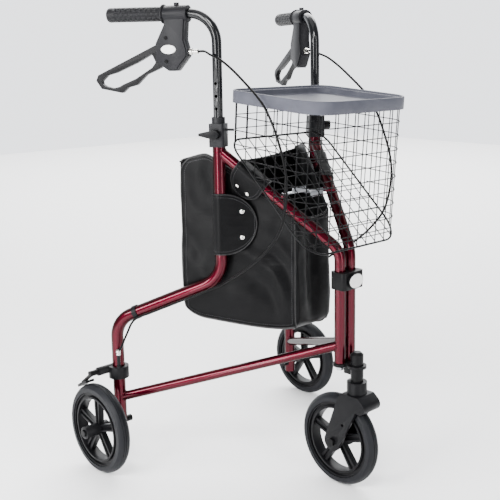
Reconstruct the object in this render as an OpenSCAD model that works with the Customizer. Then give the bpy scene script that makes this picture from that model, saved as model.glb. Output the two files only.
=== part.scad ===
// Three wheel rollator: folding tube frame, swivelling front wheel, loop brakes, bag, wire basket and tray.
// Millimetres, +Z up. The walker faces -Y, the user's right hand is at -X, and the floor is at Z = 0.

/* [Stance] */
// Height of the grip axis above the floor
handle_height = 937; // [925:1:955]
// Angle of each side frame from straight back
frame_angle = 30.6; // [30:0.1:31.2]
// Half distance between the two hinge tube axes
hinge_half_gap = 14.4; // [14:0.1:16]
// Distance from the hinge axis to the upright
upright_reach = 240; // [236:1:244]
// Distance from the hinge axis to the rear leg
leg_reach = 474; // [465:1:485]

/* [Frame tubes] */
// Outer diameter of the upright, slope and leg tube
main_d = 25.4; // [24:0.1:26]
// Wall of the upright, slope and leg tube
main_wall = 1.6; // [1.2:0.1:2]
// Outer diameter of the front tube and its diagonal
front_d = 22.2; // [20:0.1:23]
// Wall of the front tube
front_wall = 1.5; // [1:0.1:2]
// Outer diameter of the lower tube
lower_d = 19; // [17:0.1:21]
// Wall of the lower tube
lower_wall = 1.5; // [1:0.1:2]
// Top end of the upright
upright_top_z = 729; // [725:1:733]
// Height where the diagonal's axis meets the upright
diagonal_top_z = 675; // [670:1:677]
// Height where the diagonal's axis meets the front tube
diagonal_low_z = 488; // [484:1:490]
// Height where the slope's axis meets the upright
slope_top_z = 420; // [410:1:428]
// Height where the slope's axis meets the leg
slope_low_z = 318; // [312:1:324]
// Height of the lower tube at the front tube
lower_front_z = 298; // [294:1:304]
// Height of the lower tube at the leg
lower_rear_z = 148; // [144:1:154]
// Bottom end of the front tubes
front_bottom_z = 262; // [258:1:266]
// Bottom end of the legs
leg_bottom_z = 72; // [66:1:76]
// Bend radius of the upright at its axis
upright_bend_r = 60; // [50:1:70]
// Bend radius of the leg at its axis
leg_bend_r = 55; // [48:1:62]
// Bend radius of the front tube at its axis
diagonal_bend_r = 45; // [38:1:52]

/* [Handles] */
// Outer diameter of the handle tube
handle_d = 19; // [18:0.1:19.6]
// Wall of the handle tube
handle_wall = 1.5; // [1:0.1:2]
// Bend radius of the handle tube at its axis
handle_bend_r = 55; // [50:1:58]
// Turn of each handle inwards from its side frame
handle_toe = 4.5; // [0:0.5:6]
// Reach of the grip's end behind the upright
handle_reach = 226; // [220:1:232]
// Lower end of the handle tube inside the upright
handle_low_z = 590; // [570:1:610]
// Diameter of the grip
grip_d = 28.6; // [26:0.2:31]
// Length of the grip
grip_len = 119; // [112:1:121]
// Diameter of the grip's flange
grip_flange_d = 37; // [33:0.5:40]
// Thickness of the grip's flange
grip_flange_t = 4; // [3:0.5:6]
// Spacing of the height holes in the handle tube
height_hole_pitch = 24; // [20:1:26]
// Diameter of the height holes
height_hole_d = 6; // [5:0.5:7]

/* [Brakes] */
// Width of the lever housing along the handle
housing_w = 68; // [64:1:70]
// Drop of the lever housing below the grip axis
housing_drop = 108; // [104:1:112]
// Thickness of the lever housing
housing_t = 24; // [22:1:28]
// Diameter of the housing's ring round the handle tube
housing_ring_d = 32; // [29:0.5:34]
// Length of the brake lever from its pivot
lever_len = 156; // [148:1:160]
// Thickness of the brake lever
lever_t = 10; // [8:0.5:12]
// Diameter of the lever's pivot pin
lever_pin_d = 6; // [5:0.5:8]
// Diameter of the brake cable
cable_d = 5; // [4:0.5:6]
// Gap between a released brake shoe and the tyre
shoe_gap = 2.4; // [2:0.1:4]

/* [Wheels] */
// Radius of every wheel
wheel_r = 95; // [92:1:98]
// Width of the tyre
tyre_w = 28; // [26:1:30]
// Radius where the tyre sits on the rim
tyre_seat_r = 79; // [77:1:81]
// Inner radius of the rim's ring
rim_inner_r = 65; // [62:1:68]
// Number of spokes
spoke_count = 5; // [4:1:6]
// Distance from the leg to the middle of the rear wheel
wheel_offset = 53; // [51:1:56]
// Outer end of the rear hub from the middle of the wheel
hub_out = 38; // [34:1:42]
// Radius of the hub
hub_r = 13; // [12:0.5:15]
// Diameter of the axles
axle_d = 10; // [8:0.5:11]

/* [Caster] */
// Distance of the swivel axis in front of the hinge tubes
stem_lead = 32; // [31:0.5:36]
// Distance of the front axle behind the swivel axis
trail = 44; // [38:1:50]
// Diameter of the swivel housing
stem_d = 25.4; // [24:0.2:27]
// Top of the swivel housing
stem_top_z = 288; // [284:1:294]
// Top of the fork's crown
crown_top_z = 228; // [224:1:232]
// Diameter of the fork's crown
crown_d = 40; // [36:1:44]
// Thickness of each fork blade
blade_t = 7; // [6:0.5:9]

/* [Basket and tray] */
// Height of the basket's reference line
basket_z = 780; // [775:1:790]
// Distance of the basket's reference line behind the hinge axis
basket_y = 60; // [58:1:62]
// Forward tilt of the basket
basket_tilt = 4.4; // [3:0.1:5]
// Distance of the basket's side walls inside the uprights' axes
basket_inset = 4.6; // [1:0.2:6]
// Distance of the basket's rear wall ahead of the uprights' axes
basket_rear_gap = 28.6; // [27:0.2:32]
// Front wall of the basket ahead of the reference line
basket_front = 112; // [106:1:116]
// Depth of the basket at its rear wall
basket_rear_drop = 92; // [90:1:94]
// Depth of the basket at its front wall
basket_front_drop = 275; // [265:1:278]
// Round of the basket's front corners
basket_front_r = 45; // [38:1:52]
// Round of the basket's rear corners
basket_rear_r = 30; // [28:1:34]
// Diameter of the basket's edge wires
edge_wire_d = 4; // [3.5:0.5:5]
// Width of the basket's mesh wires
mesh_wire = 2; // [1.5:0.5:2.5]
// Spacing of the mesh wires
mesh_pitch = 27; // [24:1:29]
// Overhang of the tray outside the basket's rim wire
tray_skirt = 6; // [5.5:0.5:8]
// Height of the tray's rim
tray_h = 24; // [20:1:26]
// Depth of the tray's recess
tray_recess = 16; // [12:1:17]
// Wall of the tray's skirt
tray_wall = 3; // [2:0.5:3]
// Width of the tray's rim
tray_rim_w = 10; // [8:1:14]

/* [Bag] */
// Front face of the bag behind the hinge axis, along the frame
bag_front_u = 88; // [84:1:92]
// Rear edge of the bag behind the hinge axis, along the frame
bag_rear_u = 334; // [320:1:340]
// Lowest height of the bag
bag_low_z = 325; // [322:1:330]
// Height of the bag's mouth at the front
bag_front_top_z = 545; // [535:1:555]
// Height of the bag's mouth at its crest
bag_crest_z = 670; // [660:1:676]
// Height of the bag's mouth at its rear edge
bag_rear_top_z = 650; // [640:1:660]
// Thickness of the bag's cloth
bag_wall = 2.5; // [2:0.5:4]

/* [Hidden] */
$fn = 64;

// Clearances and the overrun of every cut
seat = 0.05;
run = 0.1;
gap = 0.3;
over = 1;

// Places worked out from the stance
sin_f = sin(frame_angle);
cos_f = cos(frame_angle);
rear_axle_y = leg_reach * cos_f;
leg_x = hinge_half_gap + leg_reach * sin_f;
hinge_y = -(trail - stem_lead + rear_axle_y) / 2;
stem_y = hinge_y - stem_lead;
front_axle_y = stem_y + trail;
wheel_x = leg_x + wheel_offset;
main_r = main_d / 2;
front_r = front_d / 2;
diagonal_slope = (diagonal_top_z - diagonal_low_z) / upright_reach;
diagonal_angle = atan(diagonal_slope);
slope_angle = atan((slope_top_z - slope_low_z) / (leg_reach - upright_reach));
basket_half_w = hinge_half_gap + upright_reach * sin_f - basket_inset;
basket_rear = upright_reach * cos_f - basket_rear_gap - basket_y;

// Frame colours
ruby = "#7a1024";
black = "#1b1b1d";
dark_plastic = "#3a3a3e";
rubber = "#2c2c30";
zinc = "#b9bcc0";
chrome = "#d6d8da";
cloth = "#262629";
tray_grey = "#95969e";

// Round bars and bent tubes
module bar(a, b, d) {
    v = b - a;
    len = norm(v);
    translate(a) rotate([0, acos(v[2] / len), atan2(v[1], v[0])]) cylinder(h = len, d = d);
}

function unit(v) = v / norm(v);
function turn_of(a, b) = asin(a[0] * b[1] - a[1] * b[0]);
function in_plane(p) = [p[0], 0, p[1]];

// One bend of a path in the plane of X and Z, at corner p between two directions
module bend(p, d0, d1, r, d) {
    turn = turn_of(d0, d1);
    centre = p + unit(d1 - d0) * r / cos(turn / 2);
    from = p - d0 * r * tan(abs(turn) / 2) - centre;
    start = atan2(from[1], from[0]);
    translate(in_plane(centre)) rotate([90, 0, 0]) rotate([0, 0, turn > 0 ? start : start + turn])
        rotate_extrude(angle = abs(turn)) translate([r, 0]) circle(d = d);
}

// A bent bar through corners in the plane of X and Z, each end lengthened by extra
module bent_bar(corners, radii, d, extra = 0) {
    last = len(corners) - 1;
    dirs = [for (i = [0 : last - 1]) unit(corners[i + 1] - corners[i])];
    cut = [for (i = [0 : last]) i == 0 || i == last ? -extra
        : radii[i - 1] * tan(abs(turn_of(dirs[i - 1], dirs[i])) / 2)];
    for (i = [0 : last - 1])
        bar(in_plane(corners[i] + dirs[i] * cut[i]), in_plane(corners[i + 1] - dirs[i] * cut[i + 1]), d);
    for (i = [1 : last - 1]) bend(corners[i], dirs[i - 1], dirs[i], radii[i - 1], d);
}

module bent_tube(corners, radii, d, wall) {
    difference() {
        bent_bar(corners, radii, d);
        bent_bar(corners, radii, d - 2 * wall, over);
    }
}

// Two discs joined by their outer tangents
module tapered_plate(p, rp, q, rq) {
    v = q - p;
    base = atan2(v[1], v[0]);
    side = acos((rp - rq) / norm(v));
    up = [cos(base + side), sin(base + side)];
    down = [cos(base - side), sin(base - side)];
    translate(p) circle(r = rp);
    translate(q) circle(r = rq);
    polygon([p + up * rp, p + down * rp, q + down * rq, q + up * rq]);
}

module round_rect(w, l, r) {
    square([w - 2 * r, l], center = true);
    square([w, l - 2 * r], center = true);
    for (x = [-1, 1], y = [-1, 1]) translate([x * (w / 2 - r), y * (l / 2 - r)]) circle(r = r);
}

// Puts a right-hand piece on its side of the walker
module sided(s) {
    if (s == "right") children();
    else mirror([1, 0, 0]) children();
}

// Side frame: X runs back from the hinge axis, Y points outwards
module on_frame(s) sided(s) translate([-hinge_half_gap, hinge_y, 0]) rotate([0, 0, 90 + frame_angle])
    children();

// Handle: X runs back along the grip from the upright's axis
module on_handle(s) on_frame(s) translate([upright_reach, 0, 0]) rotate([0, 0, -handle_toe]) children();

// Rear wheel: Z points outwards along the axle, X points up
module on_rear_wheel(s) sided(s) translate([-wheel_x, hinge_y + rear_axle_y, wheel_r]) rotate([0, -90, 0])
    children();

module on_front_wheel() translate([0, front_axle_y, wheel_r]) rotate([0, -90, 0]) children();

module on_basket() translate([0, hinge_y + basket_y, basket_z]) rotate([basket_tilt, 0, 0]) children();

// Main tube of a side frame: upright, slope and leg
main_corners = [[upright_reach, upright_top_z], [upright_reach, slope_top_z], [leg_reach, slope_low_z],
    [leg_reach, leg_bottom_z]];
main_radii = [upright_bend_r, leg_bend_r];
knob_below_top = 20;
knob_z = upright_top_z - knob_below_top;
stud_d = 6;

module main_tube(s) color(ruby) difference() {
    on_frame(s) bent_tube(main_corners, main_radii, main_d, main_wall);
    on_frame(s) translate([upright_reach, 0, knob_z]) rotate([-90, 0, 0])
        cylinder(h = main_d, d = stud_d + 2 * gap);
    on_rear_wheel(s) cylinder(h = 4 * wheel_offset, d = axle_d + 2 * seat, center = true);
}

// Front tube: hinge tube and diagonal, with the fold link's lug
front_corners = [[0, front_bottom_z], [0, diagonal_low_z], [upright_reach, diagonal_top_z]];
front_radii = [diagonal_bend_r];
bolt_d = 8;
plug_h = 20;
link_u = 112;
link_in = 16;
link_r = 7;
link_t = 2;
link_gap = 1;
link_lip = 12;
link_pin_d = 5;
link_lift = 16;
link_z = diagonal_low_z + diagonal_slope * link_u + link_lift;
lug_t = 4;
link_head_share = 0.7;

function link_low(s) = s == "right" ? link_z + link_gap / 2 : link_z - link_gap / 2 - link_t;

module link_lug(s) {
    lug_top = link_low(s) - gap;
    translate([link_u, -link_in, lug_top - lug_t]) linear_extrude(lug_t)
        tapered_plate([0, 0], link_r, [0, link_in], link_r);
    translate([link_u, -link_in, lug_top]) cylinder(h = 2 * gap + link_t, d = link_pin_d);
    translate([link_u, -link_in, lug_top + 2 * gap + link_t])
        cylinder(h = link_t, r = link_r * link_head_share);
}

module front_tube(s) color(ruby) on_frame(s) difference() {
    union() {
        bent_bar(front_corners, front_radii, front_d);
        link_lug(s);
    }
    difference() {
        bent_bar(front_corners, front_radii, front_d - 2 * front_wall, over);
        translate([0, 0, front_bottom_z - over]) cylinder(h = plug_h + over, d = front_d);
    }
    translate([0, 0, front_bottom_z - over]) cylinder(h = plug_h + 2 * over, d = bolt_d + 2 * run);
    translate([upright_reach, 0, slope_top_z]) cylinder(h = upright_top_z - slope_top_z, d = main_d);
}

// Lower tube between the front tube and the leg
lower_front = [0, 0, lower_front_z];
lower_rear = [leg_reach, 0, lower_rear_z];

module lower_tube(s) color(ruby) on_frame(s) difference() {
    bar(lower_front, lower_rear, lower_d);
    bar(lower_front, lower_rear, lower_d - 2 * lower_wall);
    translate([0, 0, front_bottom_z]) cylinder(h = diagonal_low_z - front_bottom_z, d = front_d);
    translate([leg_reach, 0, leg_bottom_z]) cylinder(h = slope_low_z - leg_bottom_z, d = main_d);
}

// Height clamp on the upright, with the peg that carries the basket
clamp_h = 45;
clamp_half = 15;
clamp_out = 18;
clamp_round = 4;
clamp_low_z = upright_top_z - clamp_h;
collar_h = 12;
collar_d = 26;
peg_d = 5;
peg_below_top = 12;
peg_z = upright_top_z - peg_below_top;

module clamp(s) color(dark_plastic) on_frame(s) translate([upright_reach, 0, 0]) {
    difference() {
        union() {
            translate([0, (clamp_out - clamp_half) / 2, clamp_low_z]) linear_extrude(clamp_h)
                round_rect(2 * clamp_half, clamp_half + clamp_out, clamp_round);
            translate([0, 0, upright_top_z]) cylinder(h = collar_h, d = collar_d);
            translate([peg_tip_u - upright_reach, 0, peg_z]) rotate([0, 90, 0])
                cylinder(h = upright_reach - peg_tip_u, d = peg_d);
        }
        translate([0, 0, clamp_low_z - over]) cylinder(h = clamp_h + over, d = main_d + 2 * seat);
        translate([0, 0, upright_top_z - over]) cylinder(h = collar_h + 2 * over, d = handle_d + 2 * run);
        translate([0, 0, knob_z]) rotate([-90, 0, 0]) cylinder(h = clamp_out + over, d = stud_d + 2 * run);
    }
}

// Clamp knob: a boss with one wing, on a stud that presses on the handle tube
knob_t = 14;
knob_r = 9;
knob_wing = 28;
knob_tip_r = 3;
knob_wing_t = 8;

module clamp_knob(s) color(black) on_frame(s) translate([upright_reach, 0, knob_z]) rotate([-90, 0, 0]) {
    translate([0, 0, handle_d / 2 + gap]) cylinder(h = clamp_out - handle_d / 2 + gap, d = stud_d);
    translate([0, 0, clamp_out + gap]) cylinder(h = knob_t, r = knob_r);
    translate([0, 0, clamp_out + gap + knob_t - knob_wing_t]) linear_extrude(knob_wing_t)
        tapered_plate([0, 0], knob_r, [knob_wing, 0], knob_tip_r);
}

// Handle tube with its row of height holes
handle_corners = [[0, handle_low_z], [0, handle_height], [handle_reach, handle_height]];
hole_count = 3;
hole_first = 28;

module handle_tube(s) color(black) on_handle(s) difference() {
    bent_tube(handle_corners, [handle_bend_r], handle_d, handle_wall);
    for (i = [0 : hole_count - 1])
        translate([0, 0, upright_top_z + hole_first + i * height_hole_pitch]) rotate([-90, 0, 0])
            cylinder(h = handle_d, d = height_hole_d);
}

// Grip with a flange at its inner end and a closed outer end
grip_start = handle_reach - grip_len;
grip_cap = 3;

module grip(s) color(rubber) on_handle(s) translate([grip_start, 0, handle_height]) rotate([0, 90, 0])
    difference() {
        union() {
            cylinder(h = grip_len + grip_cap, d = grip_d);
            cylinder(h = grip_flange_t, d = grip_flange_d);
        }
        translate([0, 0, -over]) cylinder(h = grip_len + over, d = handle_d + 2 * seat);
    }

// Lever housing: a ring on the handle tube and a body that hangs below it
housing_ring_len = 50;
housing_start = grip_start - gap - housing_ring_len;
housing_round = 5;
housing_step = 3;
housing_outline_shares = [[0.72, -0.06], [0.72, -0.19], [1, -0.52], [0.985, -0.84], [0.6, -1], [0.35, -1],
    [0, -0.74], [0.01, -0.63], [0.09, -0.45], [0.04, -0.06]];
pivot_x_share = 0.72;
pivot_drop_share = 0.65;
pivot_x = housing_start + housing_w * pivot_x_share;
pivot_z = handle_height - housing_drop * pivot_drop_share;
slot_r = 40;
slot_t = lever_t + 4 * gap;
slot_from_share = 0.46;
ring_bolt_d = 10;
ring_bolt_h = 5;

module housing_outline() translate([housing_start, handle_height])
    polygon([for (p = housing_outline_shares) [p[0] * housing_w, p[1] * housing_drop]]);

module rounded(r) offset(r = r, $fn = 32) offset(delta = -r) children();

// A flat outline in the handle's plane, made t thick about the middle
module upright_plate(t) rotate([90, 0, 0]) linear_extrude(t, center = true) children();

module lever_housing(s) color(dark_plastic) on_handle(s) difference() {
    union() {
        upright_plate(housing_t - 2 * housing_step) rounded(housing_round) housing_outline();
        upright_plate(housing_t) rounded(housing_round) offset(delta = -housing_step) housing_outline();
        translate([housing_start, 0, handle_height]) rotate([0, 90, 0])
            cylinder(h = housing_ring_len, d = housing_ring_d);
        translate([housing_start + housing_ring_len / 2, 0, handle_height])
            cylinder(h = housing_ring_d / 2 + ring_bolt_h, d = ring_bolt_d);
    }
    translate([housing_start - over, 0, handle_height]) rotate([0, 90, 0])
        cylinder(h = housing_ring_len + 2 * over, d = handle_d + 2 * seat);
    difference() {
        intersection() {
            translate([pivot_x, 0, pivot_z]) rotate([90, 0, 0])
                cylinder(h = slot_t, r = slot_r, center = true);
            translate([housing_start + slot_from_share * housing_w, -slot_t, 0])
                cube([housing_w, 2 * slot_t, handle_height - housing_ring_d / 2]);
        }
        translate([pivot_x, 0, pivot_z]) rotate([90, 0, 0])
            cylinder(h = slot_t, d = lever_pin_d, center = true);
    }
}

// Brake lever: a closed loop with finger grips
lever_outer_shares = [[-0.05, -0.077], [-0.04, 0.058], [0.122, 0.083], [0.968, -0.295], [1, -0.365],
    [0.923, -0.468], [0.628, -0.519], [0.545, -0.449], [0.417, -0.417], [0.276, -0.288], [0.077, -0.205]];
lever_inner_shares = [[0.192, -0.032], [0.141, -0.135], [0.192, -0.199], [0.429, -0.34], [0.609, -0.41],
    [0.667, -0.44], [0.756, -0.46], [0.859, -0.437], [0.91, -0.41], [0.917, -0.372], [0.833, -0.298],
    [0.699, -0.263], [0.391, -0.135]];
lever_round = 3;

module brake_lever(s) color(dark_plastic) on_handle(s) translate([pivot_x, 0, pivot_z]) difference() {
    upright_plate(lever_t) difference() {
        rounded(lever_round) polygon(lever_outer_shares * lever_len);
        rounded(lever_round) polygon(lever_inner_shares * lever_len);
    }
    rotate([90, 0, 0]) cylinder(h = lever_t + 2 * over, d = lever_pin_d + 2 * run, center = true);
}

// Barrel adjuster on the front of the housing, where the cable starts
barrel_len = 18;
barrel_d = 9;
barrel_nut_len = 6;
barrel_nut_d = 12;
barrel_drop_share = 0.66;
barrel_z = handle_height - housing_drop * barrel_drop_share;

module barrel_adjuster(s) color(chrome) on_handle(s)
    translate([housing_start - barrel_len, 0, barrel_z]) rotate([0, 90, 0]) {
        cylinder(h = barrel_len, d = barrel_d);
        translate([0, 0, barrel_len - barrel_nut_len]) cylinder(h = barrel_nut_len, d = barrel_nut_d);
    }

// Hinge brackets that carry both side frames at the front
bracket_half_w = 30;
bracket_back = 14;
bracket_front = 24;
bracket_h = 34;
bracket_z = 413;
bracket_round = 9;
badge_w = 34;
badge_h = 22;
badge_t = 4;

module hinge_bores(z, h, clearance) for (x = [-1, 1])
    translate([x * hinge_half_gap, hinge_y, z - over])
        cylinder(h = h + 2 * over, d = front_d + 2 * clearance);

module upper_hinge_bracket() color(black) difference() {
    union() {
        translate([0, hinge_y + (bracket_back - bracket_front) / 2, bracket_z]) linear_extrude(bracket_h)
            round_rect(2 * bracket_half_w, bracket_back + bracket_front, bracket_round);
        translate([0, hinge_y - bracket_front, bracket_z + bracket_h / 2]) rotate([90, 0, 0])
            linear_extrude(badge_t) round_rect(badge_w, badge_h, badge_h / 2 - seat);
    }
    hinge_bores(bracket_z, bracket_h, run);
}

plate_t = 6;
plate_z = front_bottom_z - gap - plate_t;
plate_back = 14;
web_t = 6;
web_drop = 18;

module lower_plate_outline() {
    translate([0, stem_y]) circle(r = stem_d / 2 + web_t);
    translate([0, hinge_y])
        tapered_plate([-hinge_half_gap, 0], plate_back, [hinge_half_gap, 0], plate_back - seat);
    translate([0, (stem_y + hinge_y) / 2]) square([stem_d, stem_lead], center = true);
}

module lower_hinge_bracket() color(black) difference() {
    union() {
        translate([0, 0, plate_z]) linear_extrude(plate_t) lower_plate_outline();
        translate([-web_t / 2, stem_y, plate_z - web_drop]) cube([web_t, stem_lead, web_drop]);
    }
    translate([0, stem_y, plate_z - web_drop - over])
        cylinder(h = web_drop + plate_t + 2 * over, d = stem_d + 2 * seat);
    for (x = [-1, 1]) translate([x * hinge_half_gap, hinge_y, plate_z - over])
        cylinder(h = plate_t + 2 * over, d = bolt_d + 2 * seat);
}

bolt_head_d = 15;
bolt_head_h = 6;
bolt_washer_d = 18;
bolt_washer_t = 2;

module hinge_bolts() color(zinc) for (x = [-1, 1]) translate([x * hinge_half_gap, hinge_y, plate_z]) {
    translate([0, 0, -bolt_washer_t]) cylinder(h = bolt_washer_t, d = bolt_washer_d);
    translate([0, 0, -bolt_washer_t - bolt_head_h]) cylinder(h = bolt_head_h, d = bolt_head_d, $fn = 6);
    cylinder(h = plate_t + gap + plug_h, d = bolt_d);
}

// Swivel housing with its bevelled cap; the fork's pin turns inside it
swivel_pin_d = 14;
swivel_pin_h = 40;
stem_cap_h = 12;
stem_cap_bevel = 5;
stem_low_z = crown_top_z + gap;

module stem_housing() color(black) translate([0, stem_y, 0]) difference() {
    union() {
        translate([0, 0, stem_low_z]) cylinder(h = stem_top_z - stem_cap_bevel - stem_low_z, d = stem_d);
        translate([0, 0, stem_top_z - stem_cap_bevel])
            cylinder(h = stem_cap_bevel, d1 = stem_d, d2 = stem_d - 2 * stem_cap_bevel);
    }
    translate([0, 0, stem_low_z - over]) cylinder(h = swivel_pin_h + 2 * over, d = swivel_pin_d + 2 * run);
}

// Caster fork: a moulded crown whose blades sweep back to the axle
fork_side_gap = 4;
fork_slot_half = tyre_w / 2 + fork_side_gap;
fork_half_w = fork_slot_half + blade_t;
fork_clear = 7;
blade_end_r = 20;
blade_mid_r = 25;
shoulder_r = 13;
shoulder_lead = 26;
blade_mid_share = 0.82;
blade_hole_y_share = 0.62;
blade_hole_z_share = 1.7;
blade_hole_d = 7;
crown_low_z = 2 * wheel_r + fork_clear;

module fork_outline() {
    crown = [-trail, crown_low_z - wheel_r];
    knee = crown * blade_mid_share;
    shoulder = crown - [shoulder_lead, shoulder_r];
    tapered_plate([0, 0], blade_end_r, knee, blade_mid_r);
    tapered_plate(knee, blade_mid_r, crown, crown_d / 2);
    tapered_plate(crown, crown_d / 2, shoulder, shoulder_r);
}

module caster_fork() color(dark_plastic) difference() {
    union() {
        intersection() {
            translate([0, front_axle_y, wheel_r]) rotate([90, 0, 90])
                linear_extrude(2 * fork_half_w, center = true) fork_outline();
            translate([-fork_half_w, stem_y - wheel_r, 0])
                cube([2 * fork_half_w, 2 * wheel_r, crown_low_z + fork_clear]);
        }
        translate([0, stem_y, crown_low_z - fork_clear])
            cylinder(h = crown_top_z - crown_low_z + fork_clear, d = crown_d);
        translate([0, stem_y, crown_top_z - over]) cylinder(h = swivel_pin_h + over, d = swivel_pin_d);
    }
    on_front_wheel() cylinder(h = 2 * fork_slot_half, r = wheel_r + fork_clear, center = true);
    on_front_wheel() cylinder(h = 2 * fork_half_w + 2 * over, d = axle_d + 2 * seat, center = true);
    translate([0, front_axle_y - trail * blade_hole_y_share, wheel_r + blade_mid_r * blade_hole_z_share])
        rotate([0, 90, 0])
        cylinder(h = 2 * fork_half_w + 2 * over, d = blade_hole_d, center = true);
}

axle_head_d = 18;
axle_head_h = 6;

module front_axle() color(zinc) on_front_wheel() {
    cylinder(h = 2 * fork_half_w, d = axle_d, center = true);
    for (side = [0, 1]) mirror([0, 0, side]) translate([0, 0, fork_half_w])
        cylinder(h = axle_head_h, d = axle_head_d, $fn = 6);
}

// Wheels: a grooved tyre on a deep rim with ribbed spokes
tread_groove = 1.6;
tread_depth = 1.5;
tread_offset_share = 0.17;
crown_round = 16;
rim_w = 24;
rim_wall = 4;
rim_well = 5;
spoke_w = 18;
spoke_root_w = 13;
spoke_t = 12;
spoke_groove = 7;
spoke_groove_depth = 4;
hub_in = 17;
front_hub_half = fork_slot_half - gap;
spoke_start_share = 0.6;
spoke_groove_share = 0.8;

module tyre_profile() difference() {
    intersection() {
        translate([tyre_seat_r, -tyre_w / 2]) square([wheel_r - tyre_seat_r, tyre_w]);
        translate([wheel_r - crown_round, 0]) tyre_crown();
    }
    for (i = [-1, 0, 1])
        translate([wheel_r - tread_depth, (i * tread_offset_share) * tyre_w - tread_groove / 2])
            square([tread_depth + over, tread_groove]);
}

// Round crown of the tyre, which meets the side walls at their middle
module tyre_crown() {
    circle(r = crown_round);
    translate([-wheel_r, -tyre_w / 2]) square([wheel_r, tyre_w]);
}

module tyre() rotate_extrude() tyre_profile();

module spoke() difference() {
    start = hub_r * spoke_start_share;
    groove_start = hub_r * spoke_groove_share;
    end = rim_inner_r + rim_wall / 2;
    linear_extrude(spoke_t, center = true)
        polygon([[start, -spoke_root_w / 2], [end, -spoke_w / 2],
            [end, spoke_w / 2], [start, spoke_root_w / 2]]);
    for (side = [-1, 1])
        translate([groove_start, -spoke_groove / 2, side * spoke_t / 2 - spoke_groove_depth])
            cube([rim_inner_r + rim_wall / 4 - groove_start, spoke_groove, 2 * spoke_groove_depth]);
}

spoke_pitch = 360 / spoke_count;

module rim(inner_end, outer_end) rotate([0, 0, -spoke_pitch / 2]) difference() {
    union() {
        rotate_extrude() difference() {
            translate([rim_inner_r, -rim_w / 2]) square([tyre_seat_r - rim_inner_r, rim_w]);
            for (side = [-1, 1]) translate([rim_inner_r + rim_wall, side * rim_w / 2 - rim_well])
                square([tyre_seat_r - rim_inner_r - 2 * rim_wall, 2 * rim_well]);
        }
        translate([0, 0, -inner_end]) cylinder(h = inner_end + outer_end, r = hub_r);
        for (i = [1 : spoke_count]) rotate([0, 0, (i - 1 / 2) * spoke_pitch]) spoke();
    }
    translate([0, 0, -inner_end - over]) cylinder(h = inner_end + outer_end + 2 * over, d = axle_d + 2 * run);
}

module front_tyre() color(rubber) on_front_wheel() tyre();
module front_rim() color(black) on_front_wheel() rim(front_hub_half, front_hub_half);
module rear_tyre(s) color(rubber) on_rear_wheel(s) tyre();
module rear_rim(s) color(black) on_rear_wheel(s) rim(hub_in, hub_out);

// Rear axle through the leg, with a spacer, an outer head and an inner cap nut
axle_cap_d = 14;
axle_cap_h = 12;
axle_nut_d = 16;
axle_nut_h = 4;

module rear_axle(s) color(zinc) on_rear_wheel(s) difference() {
    union() {
        translate([0, 0, -wheel_offset - main_r])
            cylinder(h = wheel_offset + main_r + hub_out + gap, d = axle_d);
        translate([0, 0, hub_out + gap]) cylinder(h = axle_nut_h, d = axle_nut_d, $fn = 6);
        translate([0, 0, -wheel_offset]) cylinder(h = wheel_offset - hub_in - gap, d = axle_cap_d);
        translate([0, 0, -wheel_offset - main_r - axle_cap_h])
            cylinder(h = axle_cap_h + main_r, d = axle_cap_d);
    }
    translate([0, 0, -wheel_offset]) rotate([0, 90, 0])
        difference() {
            cylinder(h = 2 * axle_cap_d, d = main_d + 2 * seat, center = true);
            rotate([0, -90, 0]) cylinder(h = 2 * main_d, d = axle_d, center = true);
        }
}

// Brake bracket on the leg, with the pin that the brake arm swings on
brake_z = 194;
brake_h = 25;
brake_ring_r = 21;
brake_pin_d = 6;
brake_pin_y = 14;
brake_pin_z = 212;
brake_arm_w = 20;
brake_cheek_r = 9;
brake_cheek_t = 8;

// Brake places from the wheel's centre: X up, Y towards the rear on the right side, Z outwards
brake_pin_up = brake_pin_z - wheel_r;
brake_in = -brake_arm_w / 2 - gap;

module brake_bracket(s) color(black) {
    difference() {
        union() {
            on_frame(s) translate([leg_reach, 0, brake_z]) cylinder(h = brake_h, r = brake_ring_r);
            on_rear_wheel(s) translate([brake_pin_up, brake_pin_y, -wheel_offset])
                cylinder(h = wheel_offset + brake_in, r = brake_cheek_r);
        }
        on_frame(s) translate([leg_reach, 0, brake_z - over])
            cylinder(h = brake_h + 2 * over, d = main_d + 2 * seat);
    }
    on_rear_wheel(s) translate([brake_pin_up, brake_pin_y, brake_in - over])
        cylinder(h = brake_arm_w + 2 * gap + over, d = brake_pin_d);
}

// Brake arm: a barrel on the pin and a bent strip that reaches back to the shoe
arm_barrel_r = 6;
arm_strip_t = 2.5;
arm_strip_w = 12;
shoe_t = 5;
shoe_w = 20;
shoe_from = 17;
shoe_to = 38;
shoe_low_r = wheel_r + shoe_gap;
arm_end_angle = 30;

function at_wheel(r, a) = [r * cos(a), r * sin(a), 0];

module brake_arm(s) color(zinc) on_rear_wheel(s) {
    end = at_wheel(shoe_low_r + shoe_t + arm_strip_t / 2, arm_end_angle);
    difference() {
        union() {
            translate([brake_pin_up, brake_pin_y, -brake_arm_w / 2])
                cylinder(h = brake_arm_w, r = arm_barrel_r);
            translate([0, 0, -arm_strip_w / 2]) linear_extrude(arm_strip_w)
                tapered_plate([brake_pin_up, brake_pin_y], arm_strip_t, [end[0], end[1]], arm_strip_t / 2);
        }
        translate([brake_pin_up, brake_pin_y, -brake_arm_w])
            cylinder(h = 2 * brake_arm_w, d = brake_pin_d + 2 * run);
        translate([0, 0, -arm_strip_w]) cylinder(h = 2 * arm_strip_w, r = shoe_low_r + shoe_t);
    }
}

module brake_shoe(s) color(black) on_rear_wheel(s) rotate([0, 0, shoe_from])
    rotate_extrude(angle = shoe_to - shoe_from) translate([shoe_low_r, -shoe_w / 2]) square([shoe_t, shoe_w]);

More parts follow.
